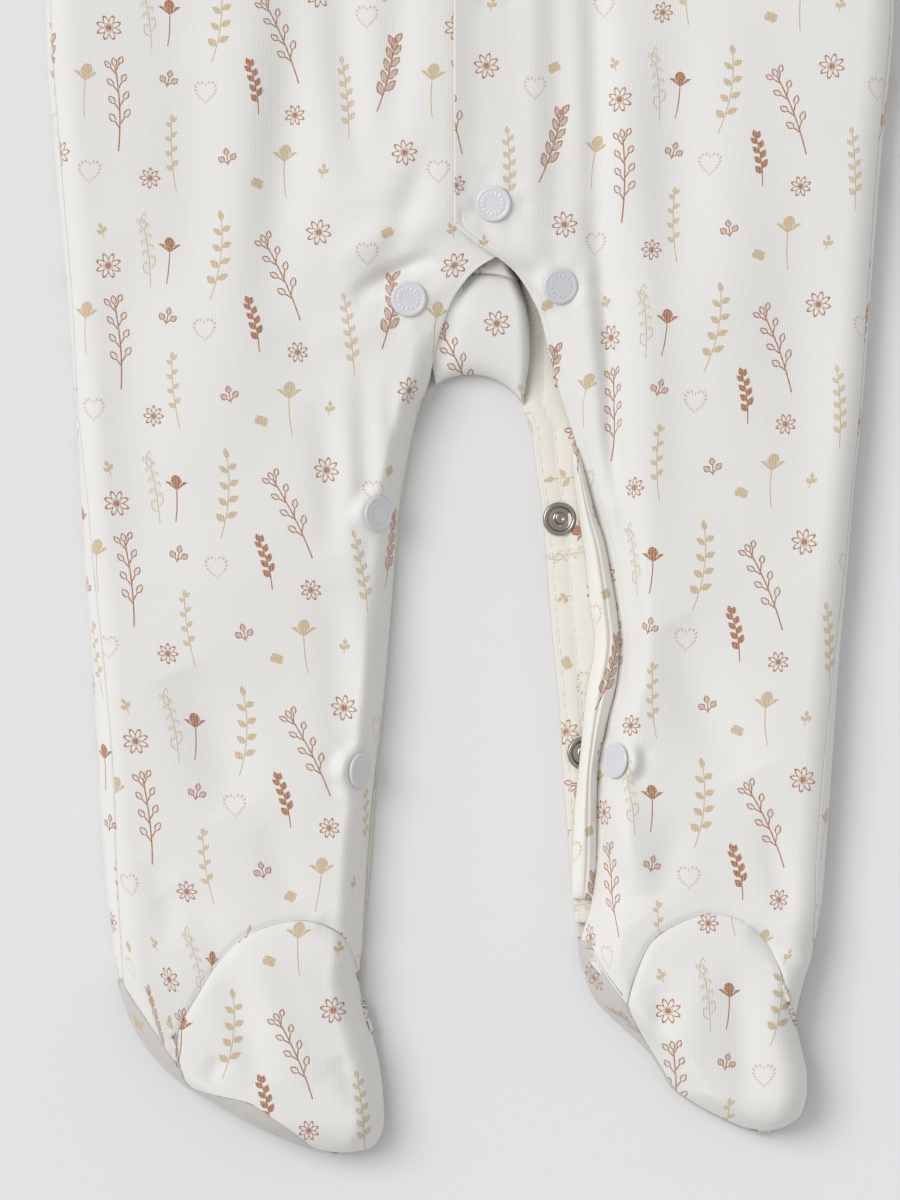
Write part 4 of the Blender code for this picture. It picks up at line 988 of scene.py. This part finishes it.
PLACKET_EDGE = dict(
    y=(-18, -24, -41, -52, -68, -76, -83, -90.5, -101.5, -118, -132, -146, -157),
    x=(29.2, 29.6, 31.4, 33.2, 34.8, 36.0, 35.4, 33.8, 32.6, 31, 29.8, 29.4, 29.8),
)
PLACKET_START, PLACKET_END = -20.0, -152.0
PLACKET_BASE, PLACKET_TOP = 3.9, 10.6
PLACKET_PRINT = (78.0, -42.0)


def placket_grid(columns=44):
    """The placket: an arched strip between its free edge and the front's, z = base + (top - base)
    sqrt(sin(pi s)), less a furrow along its middle and a lower right ridge."""
    y = np.append(np.arange(PLACKET_START, PLACKET_END, -0.9), PLACKET_END)
    left = along(PLACKET_EDGE, "x", y)
    right = along(LEFT_FRONT, "edge", y) + 0.3
    s = np.linspace(0, 1, columns)
    share = np.linspace(0, 1, len(y))[:, None]
    x = left[:, None] + np.maximum(right - left, 0.8)[:, None] * s
    tall = (PLACKET_TOP - PLACKET_BASE) * rounded(share * 7) * rounded((1 - share) * 3.4)
    middle = 0.56 + 0.05 * np.sin(y / 13)[:, None]
    furrow = bell(s - middle, 0.075) * rounded(share * 5) * rounded((1 - share) * 4)
    ridge = 1 - 0.16 * eased((s - middle) / 0.25)
    z = PLACKET_BASE + tall * np.sqrt(np.sin(math.pi * np.clip(s, 0.001, 0.999))) * ridge - furrow
    rows = np.broadcast_to(y[:, None], x.shape)
    z = z + 0.12 * np.sin(rows / 1.7 + np.sin(rows / 5)) * np.sin(math.pi * s)
    points = points_of(x, rows, z)
    return points, arc_print(points) + PLACKET_PRINT[0], rows + PLACKET_PRINT[1]


# The band's knit is painted lighter and warmer than the ivory. This is painted light that offsets the shade
# on its steep ridges; the cloth is the same.
lightened_band_knit = interlock("lightened_band_interlock", (0.83, 0.81, 0.765), (0.80, 0.775, 0.715))
placket = cloth("front_placket_cloth", [placket_grid()], (lightened_band_knit, inside), wall=0.9)
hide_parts("front_placket")


# ---- Sleeves ---------------------------------------------------------------------------------------
# Each sleeve is one piece of interlock, seamed along its underside into a tube that lies flat, set into the
# armhole and hemmed at the cuff. It falls into slack folds from the armpit and across the elbow.

SLEEVE_LENGTH, SLEEVE_ANGLE = 185.0, math.radians(50)
CUFF_WIDTH, SLEEVE_HEIGHT, CUFF_HEM, SLEEVE_SPAN = 52.0, 11.0, 16.0, 70.0
SLEEVE_FOLDS = np.array((
    # start along and across, end along and across (shares), bow, half width, depth
    (0.02, 0.16, 0.62, 0.42, 0, 4.5, 1.5),
    (0.05, 0.34, 0.4, 0.66, 0, 5, 1.1),
    (0.2, 0.1, 0.85, 0.24, 0, 4, 1),
    (0.42, 0.1, 0.5, 0.62, 0, 3.4, 1.3),
    (0.5, 0.3, 0.62, 0.92, 0, 3.6, 1.1),
    (0.6, 0.7, 0.96, 0.6, 0, 3.6, 0.9),
    (0.04, 0.86, 0.5, 0.78, 0, 6, 0.9),
    (0.72, 0.2, 0.9, 0.5, 0, 3.2, 0.8),
)) * (SLEEVE_LENGTH, SLEEVE_SPAN, SLEEVE_LENGTH, SLEEVE_SPAN, 1, 1, 1)


def sleeve_grid(side, half=44):
    """A sleeve: flattened rings from the armhole's line to the cuff's, open at both ends. A ring runs along
    its top, z = widest + (crown - widest) roll, and back along its underside, widest (1 - roll)."""
    way = np.array((math.sin(SLEEVE_ANGLE), -math.cos(SLEEVE_ANGLE)))
    armhole = np.array(((CHEST, ARMPIT_Y), SHOULDER)) + (4 * GAP, GAP)
    middle = armhole.mean(axis=0) + SLEEVE_LENGTH * way
    across = np.array((-way[1], way[0])) * CUFF_WIDTH / 2
    cuff = np.array((middle - across, middle + across))
    t = np.linspace(0, 1, 80)[:, None]
    s = spread(half, 0.1)[None]
    ends = armhole * (1 - t[..., None]) + cuff * t[..., None]
    width = np.linalg.norm(ends[:, 1] - ends[:, 0], axis=-1)[:, None]
    crown = along(SIDES, "height", ARMPIT_Y) * (1 - t) + SLEEVE_HEIGHT * t
    plan = ends[:, :1] + (ends[:, 1:] - ends[:, :1]) * s[..., None]
    near = rounded(s * width / ARMHOLE_ROLL) * rounded((1 - s) * width / ARMHOLE_ROLL)
    under = rounded(s * width / FLOOR_ROLL) * rounded((1 - s) * width / FLOOR_ROLL)
    low = folded(t * SLEEVE_LENGTH, s * SLEEVE_SPAN, SLEEVE_FOLDS)
    hem = bell((t - 1) * SLEEVE_LENGTH + CUFF_HEM, 0.9) * 0.45
    low = low + hem + rumple(plan[..., 0], plan[..., 1])
    top = np.concatenate((plan, (WIDEST_Z + (crown - WIDEST_Z) * near - low * near)[..., None]), -1)
    bottom = np.concatenate((plan, (WIDEST_Z * (1 - under))[..., None]), -1)
    points = np.concatenate((top, bottom[:, -2::-1]), axis=1) * (SIGN[side], 1, 1)
    return points, arc_print(points), np.broadcast_to(-t * SLEEVE_LENGTH, points.shape[:2])


for side in SIGN:
    points, u, v = sleeve_grid(side)
    flipped = points[:, ::-1] if side == "right" else points
    sleeve = cloth(f"sleeve_{side}_cloth", [(flipped, u, v)], (knit, inside), outwards=None)
    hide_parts(f"sleeve_{side}")


# ---- Neckband --------------------------------------------------------------------------------------
# The neckband is a folded strip of fine rib sewn round the neckline, high along the fronts and low along
# the back, so the neck stays open.

BAND_WIDTH, BAND_WALL, NECK_Y = 13.0, 1.6, 346.0


def neckband_grid(steps=200, rows=14):
    """The band: rings from the neckline inwards. x = 46.5 (1 - t / 4) sin a; y follows the fronts' ellipse
    or the back's line, and the band swells by 0.8 sin(pi t) across its width."""
    a = np.linspace(0, 2 * math.pi, steps + 1)[None]
    t = np.linspace(0, 1, rows)[:, None]
    front = np.cos(a) > 0
    swing = np.abs(np.cos(a))
    x = (NECK_SIDE[0] - 0.5) * (1 - 0.25 * t) * np.sin(a)
    low = neckline(np.abs(x) / (1 - 0.25 * t)) + 1.0 + BAND_WIDTH * t
    high = BACK_NECK_Y + 1.5 + 7.6 * np.clip((np.abs(x) - 20) / 22, 0, 1)
    high = high + (NECK_Y - high) * t
    side = NECK_SIDE[1] + 1.6 + (NECK_Y - NECK_SIDE[1] - 2.2) * t
    y = np.where(front, np.minimum(low, side), np.maximum(high, side * (1 - swing) + high * swing))
    z = np.where(front, 7 + 5.4 * swing, 7 - 5.8 * np.minimum(1, 1.3 * swing) ** 2) + 0 * t
    z = z + np.where(front, 0.8, -0.3) * np.sin(math.pi * t) * swing
    return points_of(x, y, z)


def ribbed(name, colour, shade):
    """Fine one-and-one rib: rounded ridges 1.3 mm apart across the band, with painted shade darkening the
    grooves.
    """
    made, tree, shader = material(name, Roughness=0.88, Sheen_Weight=0.2, Specular_IOR_Level=0.2)
    u, v, _, _ = attribute(tree, "grain")
    fuzz = noise(tree, FUZZ)
    ridge = abs(((u + fuzz * 0.1) * (math.pi / 1.3)).math("SINE"))
    loops = (v * (2 * math.pi / 0.9)).math("SINE")
    # painted shade: the ridge share darkens the colour from the ridges into the grooves
    base = mixed(tree, ridge * 0.6 + fuzz * 0.3 + loops * 0.05, shade, colour)
    surface(tree, shader, base, ridge + fuzz * 0.3 + loops * 0.1, 0.7, 0.0004)
    return made


rib = ribbed("fine_rib", (0.79, 0.775, 0.74), (0.66, 0.635, 0.59))
band_points = neckband_grid()
band_rows = BAND_WIDTH * np.linspace(0, 1, len(band_points))[:, None]
neckband = cloth("neckband_rib", [(band_points, arc_print(band_points), band_rows)], (rib,), wall=BAND_WALL)
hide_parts("neckband")


# ---- Stitching -------------------------------------------------------------------------------------
# Cream polyester thread in lockstitch rows: two along the facing and a twin row round each cuff; the row
# along each front's edge is left out. Each stitch is a short bead of thread that dips into the cloth at both
# ends.

STITCH, STITCH_GAP, THREAD = 2.3, 0.8, 0.19


def stitch_rows(name, paths, colour):
    """Stitches along paths of points: rings of six points round a line that rises by 0.2 sin(pi t) over
    each stitch, whose radius is THREAD sqrt(sin(pi t))."""
    rings, sides = 6, 6
    t = np.linspace(0.04, 0.96, rings)
    centres, ways = [], []
    for path in paths:
        run = run_along(path[None])[0]
        starts = np.arange(1.5, run[-1] - STITCH - 1, STITCH + STITCH_GAP)
        at = starts[:, None] + t * STITCH
        line = np.stack([np.interp(at, run, path[:, k]) for k in range(3)], -1)
        centres.append(line)
        ways.append(np.broadcast_to((line[:, -1:] - line[:, :1]), line.shape))
    centre, way = np.concatenate(centres), np.concatenate(ways)
    way = way / np.linalg.norm(way, axis=-1, keepdims=True)
    aside = np.cross(way, (0.0, 0.0, 1.0))
    aside /= np.linalg.norm(aside, axis=-1, keepdims=True)
    above = np.cross(aside, way)
    turn = np.linspace(0, 2 * math.pi, sides, endpoint=False)
    radius = THREAD * np.sqrt(np.sin(math.pi * t))[None, :, None, None]
    lift = (0.2 * np.sin(math.pi * t) - 0.06)[None, :, None, None]
    points = (centre[:, :, None] + above[:, :, None] * (lift + radius * np.sin(turn)[:, None])
              + aside[:, :, None] * radius * np.cos(turn)[:, None])
    index = np.arange(points.size // 3).reshape(points.shape[:3])
    nearer, further = index[:, :-1], index[:, 1:]
    walls = np.stack([nearer, np.roll(nearer, -1, 2), np.roll(further, -1, 2), further], -1).reshape(-1, 4)
    faces = walls.tolist() + index[:, 0, ::-1].tolist() + index[:, -1].tolist()
    return piece_of(name, points.reshape(-1, 3), faces, colour)


def thread_material(name, colour):
    """Twisted thread: a warm white with slanted light and dark plies along X + Y."""
    made, tree, shader = material(name, Roughness=0.6)
    place = node(tree, "ShaderNodeTexCoord").outputs["Object"]
    wave = node(tree, "ShaderNodeTexWave", dict(bands_direction="DIAGONAL"), dict(Vector=place, Scale=900.0))
    twist = Value(tree, wave.outputs["Fac"])
    surface(tree, shader, mixed(tree, twist, tuple(c * 0.86 for c in colour), colour), twist, 0.4, 0.0001)
    return made


def column_path(points, across):
    """The line at a distance from a grid's first column, along all its rows."""
    run = run_along(points)
    k = np.clip((run < across).sum(axis=1) - 1, 0, points.shape[1] - 2)
    rows = np.arange(len(points))
    share = ((across - run[rows, k]) / (run[rows, k + 1] - run[rows, k]))[:, None]
    return points[rows, k] * (1 - share) + points[rows, k + 1] * share


thread = thread_material("cream_thread", (0.90, 0.87, 0.79))
facing_points = facing_grid()[0]
facing_stitches = stitch_rows("facing_stitches", [column_path(facing_points, d) for d in (1.7, 6.6)], thread)
cuff_paths = []
for side in SIGN:
    points = sleeve_grid(side)[0]
    rows = (1 - np.array((CUFF_HEM - 1.2, CUFF_HEM + 1.2)) / SLEEVE_LENGTH) * (len(points) - 1)
    cuff_paths += [points[int(round(row)), 4:40] for row in rows]
cuff_stitches = stitch_rows("cuff_stitches", cuff_paths, thread)


# ---- Snaps -----------------------------------------------------------------------------------------
# Nine enamelled caps, each pressed through its front with prongs, and the two bare nickel sockets of the
# open inseam, riveted to the facing. The caps carry only a ring of small raised ticks.

CAP_LIFT, TICKS, TICK_RING = 0.18, 15, 2.95
# Profiles as rows of distance from the axis and height.
CAP_PROFILE = np.array((
    (0, 0), (4.5, 0), (4.95, 0.12), (5.13, 0.34), (5.15, 0.58), (5.05, 0.84), (4.85, 1.0), (4.6, 1.07),
    (4.35, 1.08), (4.15, 1.05), (4.0, 1.0), (3.8, 0.97), (3.4, 0.98), (3.0, 0.98), (2.6, 0.98), (2.2, 0.98),
    (1.5, 0.99), (0.7, 1.0), (0, 1.0),
))
SOCKET_PROFILE = np.array((
    (0, 0), (4.7, 0), (4.88, 0.15), (4.9, 0.5), (4.78, 0.82), (4.5, 1.04), (4.15, 1.1), (3.8, 1.0),
    (3.55, 0.75), (3.4, 0.42), (3.2, 0.3), (2.9, 0.28), (2.6, 0.34), (2.3, 0.3), (1.95, 0.26), (1.75, 0.4),
    (1.66, 0.85), (1.5, 1.12), (1.2, 1.22), (0.85, 1.18), (0.6, 1.0), (0.4, 0.92), (0, 0.92),
))


def turned(profile, place, normal, marks=0, skew=0.0, segments=72, detail=3):
    """Points and faces of a turned piece: its profile, made finer by straight steps, spun round a normal at
    a place. Raised marks stand on its face: 0.2 exp(-((r - TICK_RING) / 0.55)^6) where cos(marks a) > 0.
    skew moves the inner part sideways, as on a pressed socket whose post is off centre."""
    share = np.linspace(0, len(profile) - 1, (len(profile) - 1) * detail + 1)
    steps = np.arange(len(profile))
    radius, height = (np.interp(share, steps, profile[:, k]) for k in (0, 1))
    turn = np.linspace(0, 2 * math.pi, segments, endpoint=False)
    r, a = radius[:, None], turn[None]
    on_face = (share > len(profile) / 3)[:, None]
    h = height[:, None] + 0 * a
    if marks:
        tick = np.clip(np.cos(marks * a) * 2.2 - 0.4, 0, 1) * np.clip(np.cos(a - 2.2) * 6 + 6.4, 0, 1)
        h = h + 0.2 * on_face * tick * bell(r - TICK_RING, 0.55, 6)
    normal = np.array(normal, float) / np.linalg.norm(normal)
    first = np.cross((0.0, 1.0, 0.0), normal)
    first /= np.linalg.norm(first)
    second = np.cross(normal, first)
    off = skew * np.clip((2.0 - r) / 0.4, 0, 1) * on_face
    flat = (r * np.cos(a) + off)[..., None] * first + (r * np.sin(a) + off * 0.6)[..., None] * second
    points = np.array(place) + flat + h[..., None] * normal
    index = np.arange(points.size // 3).reshape(points.shape[:2])
    around = np.roll(index, -1, 1)
    faces = np.stack([index[:-1], around[:-1], around[1:], index[1:]], -1).reshape(-1, 4)
    return points.reshape(-1, 3), faces


def joined(name, parts, colour):
    """One mesh of several turned pieces. Points that coincide at the axes are welded."""
    points = np.concatenate([p for p, _ in parts])
    starts = np.cumsum([0] + [len(p) for p, _ in parts[:-1]])
    quads = np.concatenate([f + start for (_, f), start in zip(parts, starts)])
    welded, index = np.unique(np.round(points, 4), axis=0, return_inverse=True)
    faces = [list(dict.fromkeys(face)) for face in index.reshape(-1)[quads].tolist()]
    return piece_of(name, welded, [face for face in faces if len(face) > 2], colour)


def finish(name, colour, worn, metallic, roughness, coat):
    """Enamel or plate: the colour and a worn tone mixed by fine noise, with faint brushing in the gloss."""
    made, tree, shader = material(name, Metallic=metallic, Coat_Weight=coat)
    fine, slow = noise(tree, 1400.0), noise(tree, 220.0)
    surface(tree, shader, mixed(tree, (slow - 0.4) * 1.2 + fine * 0.3, colour, worn), fine, 0.15, 0.00005)
    tree.links.new((fine * 0.12 + slow * 0.1 + (roughness - 0.1)).socket, shader.inputs["Roughness"])
    return made


enamel = finish("cap_enamel", (0.66, 0.66, 0.69), (0.60, 0.60, 0.635), 0.0, 0.36, 0.2)
nickel = finish("nickel_plate", (0.40, 0.365, 0.32), (0.25, 0.22, 0.19), 1.0, 0.27, 0.0)
caps = []
for name, side, x, y, lean in SNAPS:
    slope_x, slope_y, level = snap_plane(np.array(float(x)), np.array(float(y)), side, lean)
    normal = np.array((-slope_x, -slope_y, 1.0)) / math.hypot(slope_x, slope_y, 1)
    caps.append(turned(CAP_PROFILE, np.array((x, y, level)) + normal * CAP_LIFT, normal, marks=TICKS))
snap_caps = joined("snap_caps", caps, enamel)
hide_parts(*(f"snap_cap_{snap[0]}" for snap in SNAPS))
STUDS = ((25.9, -41.8), (33.0, -109.6))
studs = [turned(SOCKET_PROFILE, (x, y, 3.35), (0.05, 0.0, 1.0), skew=0.35) for x, y in STUDS]
sockets = joined("snap_sockets", studs, nickel)
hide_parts("stud_1", "stud_2")


# ---- Floor, light and camera -----------------------------------------------------------------------
# A plain pale surface under the garment, one large soft lamp on the upper left, light from all round, and
# a camera straight above the legs.

VIEW_CENTRE = (-5.8, -65.25)
VIEW_HEIGHT = 348.0
CAMERA_HEIGHT = 2000.0
floor_mesh = bpy.data.meshes.new("floor")
reach = 3.0
floor_mesh.from_pydata([(-reach, -reach, 0), (reach, -reach, 0), (reach, reach, 0), (-reach, reach, 0)], [],
                       [(0, 1, 2, 3)])
floor = linked("floor", floor_mesh)
floor.location.z = -0.0004
paper = material("floor_paper", Base_Color=(0.76, 0.76, 0.765, 1), Roughness=0.9, Specular_IOR_Level=0.1)[0]
floor_mesh.materials.append(paper)

lamp_data = bpy.data.lights.new("key", "SUN")
lamp_data.angle = math.radians(34)
lamp_data.energy = 1.72
lamp = linked("key", lamp_data)
lamp.rotation_euler = (math.radians(42), 0, math.radians(242))

world = bpy.data.worlds.new("room")
bpy.context.scene.world = world
world.use_nodes = True
world.node_tree.nodes["Background"].inputs["Color"].default_value = (1, 1, 1, 1)
world.node_tree.nodes["Background"].inputs["Strength"].default_value = 0.60
bpy.context.scene.view_settings.view_transform = "Standard"

camera_data = bpy.data.cameras.new("camera")
camera_data.sensor_width = 36
camera_data.lens = 36 * CAMERA_HEIGHT / VIEW_HEIGHT
camera_data.clip_end = 20
camera = linked("camera", camera_data)
camera.location = (VIEW_CENTRE[0] * MM, (VIEW_CENTRE[1] - ORIGIN_Y) * MM, CAMERA_HEIGHT * MM)
bpy.context.scene.camera = camera
